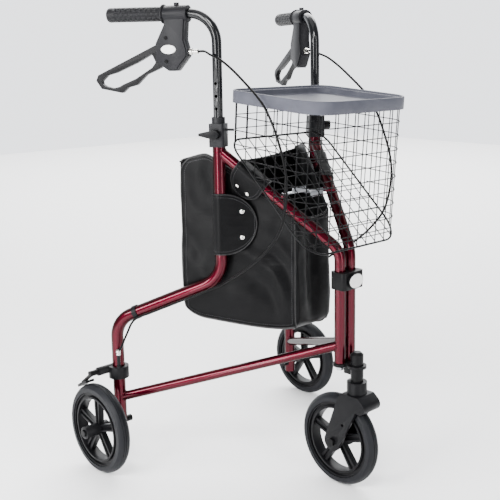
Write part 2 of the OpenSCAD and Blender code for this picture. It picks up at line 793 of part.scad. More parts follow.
// Cable fittings: a band on the slope and an adjuster that stands on the brake bracket
band_ahead = 46;
band_u = leg_reach - band_ahead;
band_w = 10;
band_t = 2;
fitting_u = -8;
fitting_out = 15.4;
fitting_d = 7;
fitting_low_z = brake_z + brake_h;
fitting_top_z = 246;
fitting_nut_h = 5;
fitting_nut_d = 10;

// Places on the side frame, from the hinge axis on the floor
function frame_point(u, out, z) = [-hinge_half_gap - u * sin_f - out * cos_f, u * cos_f - out * sin_f, z];
function handle_point(x, z) = frame_point(upright_reach + x * cos(handle_toe), -x * sin(handle_toe), z);
function slope_z(u) = slope_low_z + (leg_reach - u) * tan(slope_angle);
function slope_point(share, out, below) = let (u = upright_reach + share * (leg_reach - upright_reach))
    frame_point(u, out, slope_z(u) - below / cos(slope_angle));
function fitting_point(ahead, up) =
    frame_point(leg_reach + fitting_u - ahead, fitting_out, fitting_top_z + up);

// Brake cable: a swept tube from the barrel adjuster, in a loop ahead of the upright and along the slope.
// Loop points lie behind the upright, out from the frame and above the floor.
// Slope points lie a share along the slope, out from it and below it.
cable_sides = 8;
cable_steps = 3;
cable_start = housing_start - barrel_len - 2 * gap;
cable_lead = [0, 13];
cable_loop = [[8, 13, 859], [-19, 28, 848], [-61, 52, 818], [-116, 84, 766], [-149, 103, 698],
    [-164, 113, 628], [-152, 106, 552], [-118, 85, 500], [-69, 57, 456], [-27, 30, 426]];
cable_run_shares = [0, 0.1, 0.26, 0.45, 0.64, 0.8];
cable_run_out = [19, 13, 12.5, 12.7, 12.9, 14.3];
cable_run_below = [10, 10.5, 10.8, 10.8, 10.8, 12];
cable_tail = [[21, 48], [8, 20], [0, 8], [0, 2 * gap]];
cable_route = concat(
    [for (x = cable_lead) handle_point(cable_start - x, barrel_z)],
    [for (p = cable_loop) frame_point(upright_reach + p[0], p[1], p[2])],
    [for (i = [0 : len(cable_run_shares) - 1])
        slope_point(cable_run_shares[i], cable_run_out[i], cable_run_below[i])],
    [for (p = cable_tail) fitting_point(p[0], p[1])]);

function spline(a, b, c, d, t) = 0.5 * (2 * b + (c - a) * t + (2 * a - 5 * b + 4 * c - d) * t * t
    + (3 * b - a - 3 * c + d) * t * t * t);
function route_at(p, i) = p[max(0, min(len(p) - 1, i))];
function smooth(p, n) = concat([for (i = [0 : len(p) - 2], k = [0 : n - 1])
    spline(route_at(p, i - 1), p[i], p[i + 1], route_at(p, i + 2), k / n)], [p[len(p) - 1]]);
function tangent(p, i) = unit(route_at(p, i + 1) - route_at(p, i - 1));
function ring(p, i, r, n) = let (t = tangent(p, i), a = unit(cross(t, [1, 0, 0])), b = cross(t, a))
    [for (k = [0 : n - 1]) p[i] + r * (cos(k * 360 / n) * a + sin(k * 360 / n) * b)];

module swept(p, r, n) {
    rings = len(p);
    points = [for (i = [0 : rings - 1]) each ring(p, i, r, n)];
    sides = [for (i = [0 : rings - 2], k = [0 : n - 1]) let (j = (k + 1) % n)
        each [[i * n + k, i * n + j, (i + 1) * n + k], [i * n + j, (i + 1) * n + j, (i + 1) * n + k]]];
    ends = [[for (k = [n - 1 : -1 : 0]) k], [for (k = [0 : n - 1]) (rings - 1) * n + k]];
    polyhedron(concat(points), concat(sides, ends));
}

module brake_cable(s) color(black) sided(s) translate([0, hinge_y, 0])
    swept(smooth(cable_route, cable_steps), cable_d / 2, cable_sides);

module cable_fittings(s) color(zinc) on_frame(s) {
    translate([band_u, 0, slope_z(band_u)])
        rotate([0, 90 + slope_angle, 0]) difference() {
            cylinder(h = band_w, d = main_d + 2 * band_t, center = true);
            cylinder(h = band_w + 2 * over, d = main_d + 2 * seat, center = true);
        }
    translate([leg_reach + fitting_u, fitting_out, fitting_low_z]) {
        cylinder(h = fitting_top_z - fitting_low_z, d = fitting_d);
        cylinder(h = fitting_nut_h, d = fitting_nut_d, $fn = 6);
    }
}

// Fold link: one of two pressed bars that hold the frames apart
link_half = hinge_half_gap + link_u * sin_f - link_in * cos_f;

module fold_link(s) color(zinc) sided(s) {
    pivot_y = hinge_y + link_u * cos_f + link_in * sin_f;
    lip_up = s == "right";
    translate([-link_half, pivot_y, link_low(s)]) difference() {
        union() {
            linear_extrude(link_t) tapered_plate([0, 0], link_r, [link_half, 0], link_r);
            translate([2 * link_r, -link_r - gap, lip_up ? 0 : link_t - link_lip])
                cube([link_half - 3 * link_r, link_t, link_lip]);
            translate([link_half, 0, lip_up ? 0 : -link_t]) cylinder(h = 2 * link_t, d = link_pin_d);
        }
        translate([0, 0, -over]) cylinder(h = link_t + 2 * over, d = link_pin_d + 2 * run);
    }
}

// Bag: an open pouch between the side frames, just inside the flaps
flap_in = 14;
bag_in = flap_in + gap;
bag_floor_round = 40;
bag_crest_share = 0.74;

function bag_point(u, inset) = [hinge_half_gap + u * sin_f - inset * cos_f, u * cos_f + inset * sin_f];

module bag_plan(inset, end) {
    front = bag_point(bag_front_u + end, bag_in + inset);
    rear = bag_point(bag_rear_u - end, bag_in + inset);
    polygon([[-front[0], front[1]], [front[0], front[1]], rear, [-rear[0], rear[1]]]);
}

module bag_mouth() {
    front_y = bag_front_u * cos_f;
    rear_y = bag_rear_u * cos_f + bag_in;
    crest_y = front_y + (rear_y - front_y) * bag_crest_share;
    rotate([90, 0, 90]) linear_extrude(2 * leg_x, center = true)
        polygon([[0, bag_front_top_z], [front_y, bag_front_top_z], [crest_y, bag_crest_z],
            [rear_y, bag_rear_top_z], [rear_y + leg_x, bag_rear_top_z], [rear_y + leg_x, basket_z],
            [0, basket_z]]);
}

// Side outline of the bag, with the round under its rear edge
module bag_side(inset) {
    rear_y = bag_point(bag_rear_u, bag_in)[1] - inset;
    low = bag_low_z + inset;
    r = bag_floor_round - inset;
    rotate([90, 0, 90]) linear_extrude(2 * leg_x, center = true) {
        translate([0, low]) square([rear_y - r, bag_crest_z]);
        translate([0, low + r]) square([rear_y, bag_crest_z]);
        translate([rear_y - r, low + r]) circle(r = r);
    }
}

module bag_body(inset, top) intersection() {
    translate([0, 0, bag_low_z + inset]) linear_extrude(top - bag_low_z) bag_plan(inset, inset);
    bag_side(inset);
}

module bag() color(cloth) translate([0, hinge_y, 0]) difference() {
    bag_body(0, bag_crest_z);
    bag_body(bag_wall, bag_crest_z + over);
    bag_mouth();
}

// Bag flap: cloth that wraps the upright and snaps to the bag's side
flap_t = 2;
flap_half_h = 60;
flap_z = 531;
flap_front = 70;
flap_rear = 16;
flap_inner = main_r + gap;
flap_arc_steps = 12;

function tangent_angle(e, r, sign) = atan2(e[1], e[0]) + sign * acos(r / norm(e));
function heading(a) = [cos(a), sin(a)];
function arc_points(r, a0, a1, n) = [for (i = [0 : n]) r * heading(a0 + (a1 - a0) * i / n)];
function reversed(p) = [for (i = [len(p) - 1 : -1 : 0]) p[i]];

// Angles at which a flap with the given front and rear reach leaves a tube of radius r
function front_tangent(r, front) = tangent_angle([-front, -flap_in], r, -1) + 360;
function rear_tangent(r, rear) = tangent_angle([rear, -flap_in], r, 1);

// A flap's line round a tube at height h over its inner face, from its front tip to its rear tip
function flap_line(h, r, front, rear) = concat(
    [[-front, -flap_in] + h * heading(front_tangent(r, front))],
    arc_points(r + h, front_tangent(r, front), rear_tangent(r, rear), flap_arc_steps),
    [[rear, -flap_in] + h * heading(rear_tangent(r, rear))]);

// A flap round a tube along Z, with a round front edge
module wrapped_flap(r, front, rear, half) intersection() {
    centre = front - half;
    linear_extrude(2 * half + 2 * over, center = true)
        polygon(concat(flap_line(0, r, front, rear), reversed(flap_line(flap_t, r, front, rear))));
    union() {
        translate([-centre, 0, 0]) rotate([90, 0, 0]) cylinder(h = 4 * main_d, r = half, center = true);
        translate([-centre, -2 * main_d, -half]) cube([centre + rear + 2 * flap_t, 4 * main_d, 2 * half]);
    }
}

module bag_flap(s) color(cloth) on_frame(s) translate([upright_reach, 0, flap_z])
    wrapped_flap(flap_inner, flap_front, flap_rear, flap_half_h);

// Bag strap: a shorter flap that hangs over the diagonal
strap_ahead = 64;
strap_u = upright_reach - strap_ahead;
strap_half_w = 35;
strap_front = 47;
strap_rear = 14;
strap_inner = front_r + gap;

module on_diagonal(s, u) on_frame(s) translate([u, 0, diagonal_low_z + diagonal_slope * u])
    rotate([0, -diagonal_angle, 0]) children();

// X up from the diagonal, Y outwards and Z along it
module on_strap(s) on_diagonal(s, strap_u) rotate([0, -90, 0]) children();

module bag_strap(s) color(cloth) on_strap(s) wrapped_flap(strap_inner, strap_front, strap_rear, strap_half_w);

// Press studs on the flap and on the strap
press_d = 9;
press_h = 2.5;
press_reach = 41;
press_apart = 52;
strap_press_reach = 31;
strap_press_apart = 25.4;

module stud_pair(r, front, reach, apart) rotate([0, 0, front_tangent(r, front)]) for (z = [-1, 1])
    translate([r + flap_t, reach, z * apart / 2]) rotate([0, 90, 0]) cylinder(h = press_h, d = press_d);

module press_studs(s) color(chrome) {
    on_frame(s) translate([upright_reach, 0, flap_z])
        stud_pair(flap_inner, flap_front, press_reach, press_apart);
    on_strap(s) stud_pair(strap_inner, strap_front, strap_press_reach, strap_press_apart);
}

// Basket: edge wires, five mesh walls and a grey tray on top
floor_run = basket_front + basket_rear;
floor_angle = atan((basket_front_drop - basket_rear_drop) / floor_run);
side_front = basket_front_r - basket_front;
side_rear = basket_rear - basket_rear_r;
mesh_top = -16;
edge_r = edge_wire_d / 2;
edge_in = edge_r + seat;
corner_steps = 6;

function floor_z(y) = -basket_rear_drop - (basket_rear - y) * tan(floor_angle);

// Rim plan of the basket grown by a margin, corner by corner from the rear left
function plan_corner(x, y, r, a, n) = [for (i = [0 : n]) [x, y] + r * heading(a + 90 * i / n)];
function plan(grow, n) = concat(
    plan_corner(basket_half_w - basket_rear_r, side_rear, basket_rear_r + grow, 0, n),
    plan_corner(basket_rear_r - basket_half_w, side_rear, basket_rear_r + grow, 90, n),
    plan_corner(basket_front_r - basket_half_w, side_front, basket_front_r + grow, 180, n),
    plan_corner(basket_half_w - basket_front_r, side_front, basket_front_r + grow, 270, n));

// Rear corner posts stand where each corner is farthest from its hinge axis, and the clamps' pegs end there
corner_x = basket_half_w - basket_rear_r - hinge_half_gap;
corner_y = basket_y + side_rear / cos(basket_tilt) + (basket_z - peg_z) * tan(basket_tilt);
post_angle = atan2(corner_y, corner_x);
post_x = basket_half_w - basket_rear_r + basket_rear_r * cos(post_angle);
post_y = side_rear + basket_rear_r * sin(post_angle);
peg_tip_u = norm([corner_x, corner_y]) + basket_rear_r + edge_r + 2 * gap;

module rim_corner(x, y, r, a) translate([x, y, mesh_top]) rotate([0, 0, a]) rotate_extrude(angle = 90)
    translate([r, 0]) circle(r = edge_r);

// The floor's edge is a flat band in the sloping plane
module floor_outline(grow)
    polygon([for (p = plan(grow, corner_steps)) [p[0], (p[1] - basket_rear) / cos(floor_angle)]]);

module on_floor() translate([0, basket_rear, -basket_rear_drop]) rotate([floor_angle, 0, 0]) children();

module edge_wires() {
    rear_x = basket_half_w - basket_rear_r;
    front_x = basket_half_w - basket_front_r;
    bar([-rear_x, basket_rear, mesh_top], [rear_x, basket_rear, mesh_top], edge_wire_d);
    bar([-front_x, -basket_front, mesh_top], [front_x, -basket_front, mesh_top], edge_wire_d);
    for (x = [-1, 1]) {
        bar([x * basket_half_w, side_front, mesh_top], [x * basket_half_w, side_rear, mesh_top], edge_wire_d);
        bar([x * post_x, post_y, floor_z(post_y)], [x * post_x, post_y, mesh_top], edge_wire_d);
    }
    rim_corner(rear_x, side_rear, basket_rear_r, 0);
    rim_corner(-rear_x, side_rear, basket_rear_r, 90);
    rim_corner(-front_x, side_front, basket_front_r, 180);
    rim_corner(front_x, side_front, basket_front_r, 270);
    on_floor() linear_extrude(edge_wire_d, center = true) difference() {
        floor_outline(edge_r);
        floor_outline(-edge_r);
    }
}

module basket_edges() color(black) on_basket() edge_wires();

// Mesh rows count down from the rim
rows = [for (z = mesh_top - mesh_pitch; z > -basket_front_drop; z = z - mesh_pitch) z];
rear_pitch = 24;
front_columns = 2 * floor((basket_half_w - basket_front_r) / mesh_pitch) + 1;
rear_columns = 2 * floor((basket_half_w - basket_rear_r) / rear_pitch);
corner_angles = [30, 60];

// An end wall at Y = 0 that faces -Y, with its two rounded corners
module end_mesh(r, columns, pitch, angles) {
    half = basket_half_w - r;
    tall = basket_front_drop + mesh_top - edge_in;
    rotate([90, 0, 0]) linear_extrude(mesh_wire, center = true) {
        for (z = rows) translate([-half, z - mesh_wire / 2]) square([2 * half, mesh_wire]);
        for (i = [0 : columns - 1])
            translate([(i - (columns - 1) / 2) * pitch - mesh_wire / 2, -basket_front_drop])
                square([mesh_wire, tall]);
    }
    for (side = [0, 1]) mirror([side, 0, 0]) translate([-half, r, 0]) rotate([0, 0, 180]) {
        for (z = rows)
            rotate_extrude(angle = 90) translate([r - mesh_wire / 2, z - mesh_wire / 2]) square(mesh_wire);
        for (a = angles) rotate([0, 0, a]) translate([r - mesh_wire / 2, -mesh_wire / 2, -basket_front_drop])
            cube([mesh_wire, mesh_wire, tall]);
    }
}

// All that lies under the floor's edge wires
module under_floor() translate([0, basket_rear, -basket_rear_drop]) rotate([floor_angle, 0, 0])
    translate([-floor_run, -2 * floor_run, edge_in - floor_run])
        cube([2 * floor_run, 3 * floor_run, floor_run]);

module basket_front_mesh() color(black) on_basket() difference() {
    translate([0, -basket_front, 0]) end_mesh(basket_front_r, front_columns, mesh_pitch, corner_angles);
    under_floor();
}

module basket_rear_mesh() color(black) on_basket() difference() {
    mirror([0, 1, 0]) translate([0, -basket_rear, 0]) end_mesh(basket_rear_r, rear_columns, rear_pitch, []);
    under_floor();
    for (x = [-1, 1]) translate([x * post_x, post_y, -basket_front_drop])
        cylinder(h = basket_front_drop, r = edge_in);
}

// Side wall: the grid inside the wires, down to the sloping floor
module side_mesh() rotate([90, 0, 90]) linear_extrude(mesh_wire, center = true) intersection() {
    lift = edge_in / cos(floor_angle);
    polygon([[side_front, mesh_top - edge_in], [side_rear, mesh_top - edge_in],
        [side_rear, floor_z(side_rear) + lift], [side_front, floor_z(side_front) + lift]]);
    union() {
        for (z = rows) translate([side_front, z - mesh_wire / 2]) square([side_rear - side_front, mesh_wire]);
        for (y = [side_front + mesh_wire / 2 : mesh_pitch : side_rear])
            translate([y - mesh_wire / 2, -basket_front_drop]) square([mesh_wire, basket_front_drop]);
    }
}

module basket_right_mesh() color(black) on_basket() translate([-basket_half_w, 0, 0]) side_mesh();
module basket_left_mesh() color(black) on_basket() translate([basket_half_w, 0, 0]) side_mesh();

// Floor: a grid in the sloping plane, its outline laid along the slope
floor_columns = 2 * floor((basket_half_w - basket_front_r / 2) / mesh_pitch) + 1;

module floor_grid(long) {
    for (i = [0 : floor_columns - 1])
        translate([(i - (floor_columns - 1) / 2) * mesh_pitch - mesh_wire / 2, -long])
            square([mesh_wire, long]);
    for (y = [mesh_pitch : mesh_pitch : long])
        translate([-basket_half_w, -y]) square([2 * basket_half_w, mesh_wire]);
}

module basket_floor_mesh() color(black) on_basket() on_floor() linear_extrude(mesh_wire, center = true)
    intersection() {
        floor_outline(-edge_in);
        floor_grid(floor_run / cos(floor_angle));
    }

// Tray: a shallow dish whose skirt drops over the rim wire
tray_steps = 12;
tray_low = mesh_top - edge_r;
tray_under = edge_wire_d + gap;
tray_step = 4;
tray_step_share = 0.5;

module tray() color(tray_grey) on_basket() translate([0, 0, tray_low]) difference() {
    linear_extrude(tray_h) polygon(plan(tray_skirt, tray_steps));
    translate([0, 0, tray_h - tray_recess]) linear_extrude(tray_recess + over)
        polygon(plan(tray_skirt - tray_rim_w, tray_steps));
    translate([0, 0, tray_h - tray_step]) linear_extrude(tray_step + over)
        polygon(plan(tray_skirt - tray_rim_w * tray_step_share, tray_steps));
    translate([0, 0, -over]) linear_extrude(tray_under + over)
        polygon(plan(tray_skirt - tray_wall, tray_steps));
}

// Each sub-part, or all of them
upper_hinge_bracket();
lower_hinge_bracket();
stem_housing();
hinge_bolts();
bag();
caster_fork();
front_axle();
front_tyre();
front_rim();
basket_edges();
basket_front_mesh();
basket_right_mesh();
basket_left_mesh();
basket_floor_mesh();
basket_rear_mesh();
tray();
main_tube("right");  // main_tube_right
main_tube("left");  // main_tube_left
front_tube("right");  // front_tube_right
front_tube("left");  // front_tube_left
lower_tube("right");  // lower_tube_right
lower_tube("left");  // lower_tube_left
clamp("right");  // clamp_right
clamp("left");  // clamp_left
rear_axle("right");  // rear_axle_right
rear_axle("left");  // rear_axle_left
brake_bracket("right");  // brake_bracket_right
brake_bracket("left");  // brake_bracket_left
brake_cable("right");  // brake_cable_right
brake_cable("left");  // brake_cable_left
cable_fittings("right");  // cable_fittings_right
cable_fittings("left");  // cable_fittings_left
bag_flap("right");  // bag_flap_right
bag_flap("left");  // bag_flap_left
bag_strap("right");  // bag_strap_right
bag_strap("left");  // bag_strap_left
press_studs("right");  // press_studs_right
press_studs("left");  // press_studs_left
handle_tube("right");  // handle_tube_right
handle_tube("left");  // handle_tube_left
grip("right");  // grip_right
grip("left");  // grip_left
lever_housing("right");  // lever_housing_right
lever_housing("left");  // lever_housing_left
barrel_adjuster("right");  // barrel_adjuster_right
barrel_adjuster("left");  // barrel_adjuster_left
brake_lever("right");  // brake_lever_right
brake_lever("left");  // brake_lever_left
brake_arm("right");  // brake_arm_right
brake_arm("left");  // brake_arm_left
brake_shoe("right");  // brake_shoe_right
brake_shoe("left");  // brake_shoe_left
clamp_knob("right");  // clamp_knob_right
clamp_knob("left");  // clamp_knob_left
fold_link("right");  // fold_link_right
fold_link("left");  // fold_link_left
rear_tyre("right");  // rear_tyre_right
rear_tyre("left");  // rear_tyre_left
rear_rim("right");  // rear_rim_right
rear_rim("left");  // rear_rim_left
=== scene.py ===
# %% [markdown]
# # A three wheel rollator
# A folding walking frame: two side frames of painted steel tube meet at a hinge above one swivelling front
# wheel. Between them hang a vinyl bag and a wire basket with a moulded tray. The hard parts come from the CAD
# model and keep their places. This lesson gives them finishes and makes what a CAD model leaves plain: cloth,
# wire, rubber treads, seams, welds and small fasteners.

import math

import bmesh
import bpy
from mathutils import Matrix, Vector, noise


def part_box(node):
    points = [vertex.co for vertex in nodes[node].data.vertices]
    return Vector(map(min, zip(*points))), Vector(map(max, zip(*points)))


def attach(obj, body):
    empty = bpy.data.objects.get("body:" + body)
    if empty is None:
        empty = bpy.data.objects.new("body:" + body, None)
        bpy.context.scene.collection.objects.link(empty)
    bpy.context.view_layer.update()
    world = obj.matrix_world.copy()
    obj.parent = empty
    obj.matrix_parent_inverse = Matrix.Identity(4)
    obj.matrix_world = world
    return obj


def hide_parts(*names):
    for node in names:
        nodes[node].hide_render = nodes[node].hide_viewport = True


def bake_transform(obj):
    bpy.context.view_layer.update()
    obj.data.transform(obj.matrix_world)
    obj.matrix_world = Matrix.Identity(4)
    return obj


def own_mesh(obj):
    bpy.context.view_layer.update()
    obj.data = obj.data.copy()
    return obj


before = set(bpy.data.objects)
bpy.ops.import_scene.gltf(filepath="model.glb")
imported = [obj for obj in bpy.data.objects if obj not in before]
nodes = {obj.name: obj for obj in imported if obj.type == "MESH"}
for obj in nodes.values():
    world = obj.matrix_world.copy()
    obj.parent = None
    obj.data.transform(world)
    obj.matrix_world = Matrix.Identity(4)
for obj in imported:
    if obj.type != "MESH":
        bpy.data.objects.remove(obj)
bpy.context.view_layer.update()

# %% [markdown]
# ## The camera
# The photograph is taken from the front right, a little above the tray, with a moderately long lens. The
# camera's place was found by matching points of the frame with their places in the picture. The picture's
# centre isn't the lens axis, as in any cropped product photograph, so the lens is shifted a little.

# %% Camera at the photograph's viewing angle
MM = 0.001
camera_place = Vector((-1269.2, -1320.8, 861.9)) * MM
camera_target = Vector((-39.0, -99.1, 524.9)) * MM
camera_roll = math.radians(-0.5)
camera_data = bpy.data.cameras.new("camera")
camera_data.lens = 64.2
camera_data.sensor_width = 36
camera_data.shift_x = -0.080
camera_data.shift_y = -0.048
camera = bpy.data.objects.new("camera", camera_data)
turn = (camera_target - camera_place).to_track_quat("-Z", "Y").to_matrix().to_4x4()
camera.matrix_world = Matrix.Translation(camera_place) @ turn @ Matrix.Rotation(camera_roll, 4, "Z")
bpy.context.scene.collection.objects.link(camera)
bpy.context.scene.camera = camera
print("camera looks from", [round(v, 3) for v in camera_place])

# %% [markdown]
# ## Floor and studio light
# A product like this is photographed on a pale sweep between large soft boxes. A round tube mirrors a lamp
# only where the lamp crosses the cone of directions that the tube can send to the camera, so each run of tube
# needs its own strip: two tall ones that reach down to the floor draw the lines on the uprights, and a wide
# one at the left those on the slopes and lower tubes. Lamps above and behind keep the floor pale and the
# shadows faint.

# %% Floor
floor_half = 6
floor_corners = [(x * floor_half, y * floor_half, 0) for x, y in ((-1, -1), (1, -1), (1, 1), (-1, 1))]
floor_mesh = bpy.data.meshes.new("floor")
floor_mesh.from_pydata(floor_corners, [], [(0, 1, 2, 3)])
floor = bpy.data.objects.new("floor", floor_mesh)
bpy.context.scene.collection.objects.link(floor)
print("floor", 2 * floor_half, "m across")


# %% Studio lamps
def soft_box(name, place, target, size, watts):
    lamp = bpy.data.lights.new(name, "AREA")
    lamp.shape = "RECTANGLE"
    lamp.size, lamp.size_y = size
    lamp.energy = watts
    box = bpy.data.objects.new(name, lamp)
    box.location = place
    box.rotation_mode = "QUATERNION"
    box.rotation_quaternion = (Vector(target) - Vector(place)).to_track_quat("-Z", "Y")
    bpy.context.scene.collection.objects.link(box)


soft_box("key_strip", (-1.8, -0.3, 0.95), (0, 0, 0.75), (0.3, 1.8), 42)
soft_box("slope_strip", (-2.15, 0.45, 1.15), (-0.2, 0.2, 0.4), (1.1, 0.35), 50)
soft_box("high_box", (-1.75, -1.35, 2.3), (0, 0, 0.5), (0.7, 0.7), 60)
soft_box("side_strip", (-0.2, -2.2, 1.0), (0, 0, 0.75), (0.3, 1.9), 30)
soft_box("back_light", (3.2, 3.2, 4.2), (3.0, 3.0, 0), (6.0, 6.0), 900)
soft_box("top_light", (-0.5, 0.1, 3.2), (0, 0, 0.3), (2.4, 2.4), 25)
print(len(bpy.data.lights), "soft boxes")

# %% [markdown]
# ## Finishes
# Every finish is built from nodes on one shader. One function turns an sRGB hex colour to linear light, one
# adds a node with its settings and links, and one starts a material. Pattern sizes are given in millimetres,
# and Object coordinates are metres, so a pattern of size s mm has a scale of 1000 / s.


# %% Small functions for materials
def linear(hex_colour):
    channels = [int(hex_colour[i:i + 2], 16) / 255 for i in (1, 3, 5)]
    return [c / 12.92 if c <= 0.04045 else ((c + 0.055) / 1.055) ** 2.4 for c in channels] + [1]


def add(tree, kind, settings=None, values=None, links=None):
    made = tree.nodes.new(kind)
    for key, value in (settings or {}).items():
        setattr(made, key, value)
    for key, value in (values or {}).items():
        made.inputs[key].default_value = value
    for key, source in (links or {}).items():
        tree.links.new(source, made.inputs[key])
    return made


def finish_named(name, values):
    material = bpy.data.materials.new(name)
    material.use_nodes = True
    tree = material.node_tree
    tree.nodes.clear()
    shader = add(tree, "ShaderNodeBsdfPrincipled", values=values)
    add(tree, "ShaderNodeOutputMaterial", links={"Surface": shader.outputs["BSDF"]})
    place = add(tree, "ShaderNodeTexCoord").outputs["Object"]
    return material, tree, shader, place


def per_mm(size):
    return 1000 / size


print("a grain of 0.5 mm has a scale of", per_mm(0.5))

# %% [markdown]
# ### Paint on tube
# The side frames are steel tube in a ruby metallic powder coat under a clear lacquer. Two layers make it: a
# metallic base whose flakes scatter the light, and a smooth coat on top that gives the sharp highlights. The
# flakes are really about 0.05 mm; here they are drawn 0.7 mm across so that they show at all.

# %% Ruby metallic lacquer
flake_mm = 0.7
ruby_lacquer, tree, shader, place = finish_named("ruby_metallic_lacquer", {
    "Metallic": 0.9, "Roughness": 0.3, "Specular Tint": linear("#2a030c"), "Coat Weight": 0.34,
    "Coat Roughness": 0.04, "Coat IOR": 1.5})
flakes = add(tree, "ShaderNodeTexVoronoi", values={"Scale": per_mm(flake_mm)}, links={"Vector": place})
shade = add(tree, "ShaderNodeValToRGB", links={"Fac": flakes.outputs["Color"]})
shade.color_ramp.elements[0].color = linear("#34000c")
shade.color_ramp.elements[1].color = linear("#4c0016")
drift = add(tree, "ShaderNodeTexNoise", values={"Scale": per_mm(60), "Detail": 3}, links={"Vector": place})
gloss = add(tree, "ShaderNodeMapRange", values={"To Min": 0.24, "To Max": 0.36},
            links={"Value": drift.outputs["Fac"]})
peel = add(tree, "ShaderNodeTexNoise", values={"Scale": per_mm(5), "Detail": 2}, links={"Vector": place})
bump = add(tree, "ShaderNodeBump", values={"Strength": 0.015, "Distance": 0.0004},
           links={"Height": peel.outputs["Fac"]})
tree.links.new(shade.outputs["Color"], shader.inputs["Base Color"])
tree.links.new(gloss.outputs["Result"], shader.inputs["Roughness"])
tree.links.new(bump.outputs["Normal"], shader.inputs["Normal"])
tree.links.new(bump.outputs["Normal"], shader.inputs["Coat Normal"])
print("ruby lacquer with flakes of", flake_mm, "mm")


# %% [markdown]
# ### Black finishes
# The handle tubes are gloss black enamel, the brackets and wires a satin black powder coat, and the mouldings
# dark ABS or black nylon. All share one recipe: a base that drifts a little in colour and gloss, and a fine
# bump whose grain is the real one's: orange peel on paint, spark erosion on moulded plastic. The grey tray,
# the white plates, the piping and the thread use the same recipe with other colours.

# %% Dark coats and plastics
def dark_finish(name, low, high, grain_mm, bump_strength, roughness, values):
    material, tree, shader, place = finish_named(name, values)
    drift = add(tree, "ShaderNodeTexNoise", values={"Scale": per_mm(35), "Detail": 4},
                links={"Vector": place})
    shade = add(tree, "ShaderNodeValToRGB", links={"Fac": drift.outputs["Fac"]})
    shade.color_ramp.elements[0].position = 0.3
    shade.color_ramp.elements[0].color = linear(low)
    shade.color_ramp.elements[1].position = 0.7
    shade.color_ramp.elements[1].color = linear(high)
    grain = add(tree, "ShaderNodeTexNoise", values={"Scale": per_mm(grain_mm), "Detail": 3, "Roughness": 0.6},
                links={"Vector": place})
    gloss = add(tree, "ShaderNodeMapRange", values={"To Min": roughness - 0.05, "To Max": roughness + 0.05},
                links={"Value": drift.outputs["Fac"]})
    bump = add(tree, "ShaderNodeBump", values={"Strength": bump_strength, "Distance": 0.0003},
               links={"Height": grain.outputs["Fac"]})
    tree.links.new(shade.outputs["Color"], shader.inputs["Base Color"])
    tree.links.new(gloss.outputs["Result"], shader.inputs["Roughness"])
    tree.links.new(bump.outputs["Normal"], shader.inputs["Normal"])
    return material


# Wet-looking enamel: sharp reflections on near black
black_enamel = dark_finish("gloss_black_enamel", "#07080a", "#0c0d10", 30, 0.004, 0.2,
                           {"Specular IOR Level": 0.2, "Coat Weight": 0.3, "Coat Roughness": 0.06})
# Powder coat: broad soft highlights broken by orange peel
black_powder = dark_finish("satin_black_powder_coat", "#070708", "#0c0c0d", 2.5, 0.2, 0.38,
                           {"Specular IOR Level": 0.1})
# Moulded ABS: dark grey with a dull sheen from its eroded mould
grey_abs = dark_finish("moulded_dark_grey_abs", "#0f0f12", "#161619", 0.9, 0.2, 0.46,
                       {"IOR": 1.53, "Specular IOR Level": 0.14})
# Glass-filled nylon: blacker and a little smoother than the ABS
black_nylon = dark_finish("moulded_black_nylon", "#08080a", "#0e0e10", 1.2, 0.18, 0.42,
                          {"IOR": 1.53, "Specular IOR Level": 0.1})
# Thermoplastic rubber of the grips: matt, with a faint bloom
grip_rubber = dark_finish("soft_grip_rubber", "#0e0e10", "#141417", 0.8, 0.04, 0.5,
                          {"IOR": 1.5, "Specular IOR Level": 0.16, "Sheen Weight": 0.02})
# Polyurethane tyre: dark grey and dull
tyre_rubber = dark_finish("polyurethane_tyre", "#0c0d10", "#131418", 1.4, 0.2, 0.5,
                          {"IOR": 1.5, "Specular IOR Level": 0.16})
# Outer sheath of the brake cables: smooth black PVC
cable_sheath = dark_finish("black_pvc_sheath", "#050506", "#090909", 2, 0.08, 0.34,
                           {"IOR": 1.53, "Specular IOR Level": 0.08})
# Tray: bluish grey polypropylene with a fine leather-like mould grain
grey_polypropylene = dark_finish("moulded_grey_polypropylene", "#3d3e47", "#494a52", 1.3, 0.35, 0.5,
                                 {"IOR": 1.49, "Specular IOR Level": 0.2})
# Blank oval plates: smooth white nylon with a soft shine
white_nylon = dark_finish("white_nylon", "#d9d9d6", "#e6e6e3", 1.5, 0.1, 0.4, {"IOR": 1.53})
print(len(bpy.data.materials), "materials so far")

# %% [markdown]
# ### Bare metal
# The hinge bolts and the fold links are zinc plated, and the press studs and cable adjusters nickel plated.
# Zinc is dull with cloudy patches left by the plating bath, and nickel is clean and bright.


# %% Plated metals
def plated(name, low, high, cloud_mm, detail, smoothest, roughest):
    material, tree, shader, place = finish_named(name, {"Metallic": 1.0})
    cloud = add(tree, "ShaderNodeTexNoise", values={"Scale": per_mm(cloud_mm), "Detail": detail},
                links={"Vector": place})
    shade = add(tree, "ShaderNodeValToRGB", links={"Fac": cloud.outputs["Fac"]})
    shade.color_ramp.elements[0].color = linear(low)
    shade.color_ramp.elements[1].color = linear(high)
    gloss = add(tree, "ShaderNodeMapRange", values={"To Min": smoothest, "To Max": roughest},
                links={"Value": cloud.outputs["Fac"]})
    tree.links.new(shade.outputs["Color"], shader.inputs["Base Color"])
    tree.links.new(gloss.outputs["Result"], shader.inputs["Roughness"])
    return material


zinc_plate = plated("zinc_plated_steel", "#8d9096", "#c4c6ca", 7, 4, 0.24, 0.46)
nickel_plate = plated("nickel_plated_brass", "#c9c7c2", "#e2e0db", 3, 3, 0.14, 0.14)
print("plated:", zinc_plate.name, "and", nickel_plate.name)

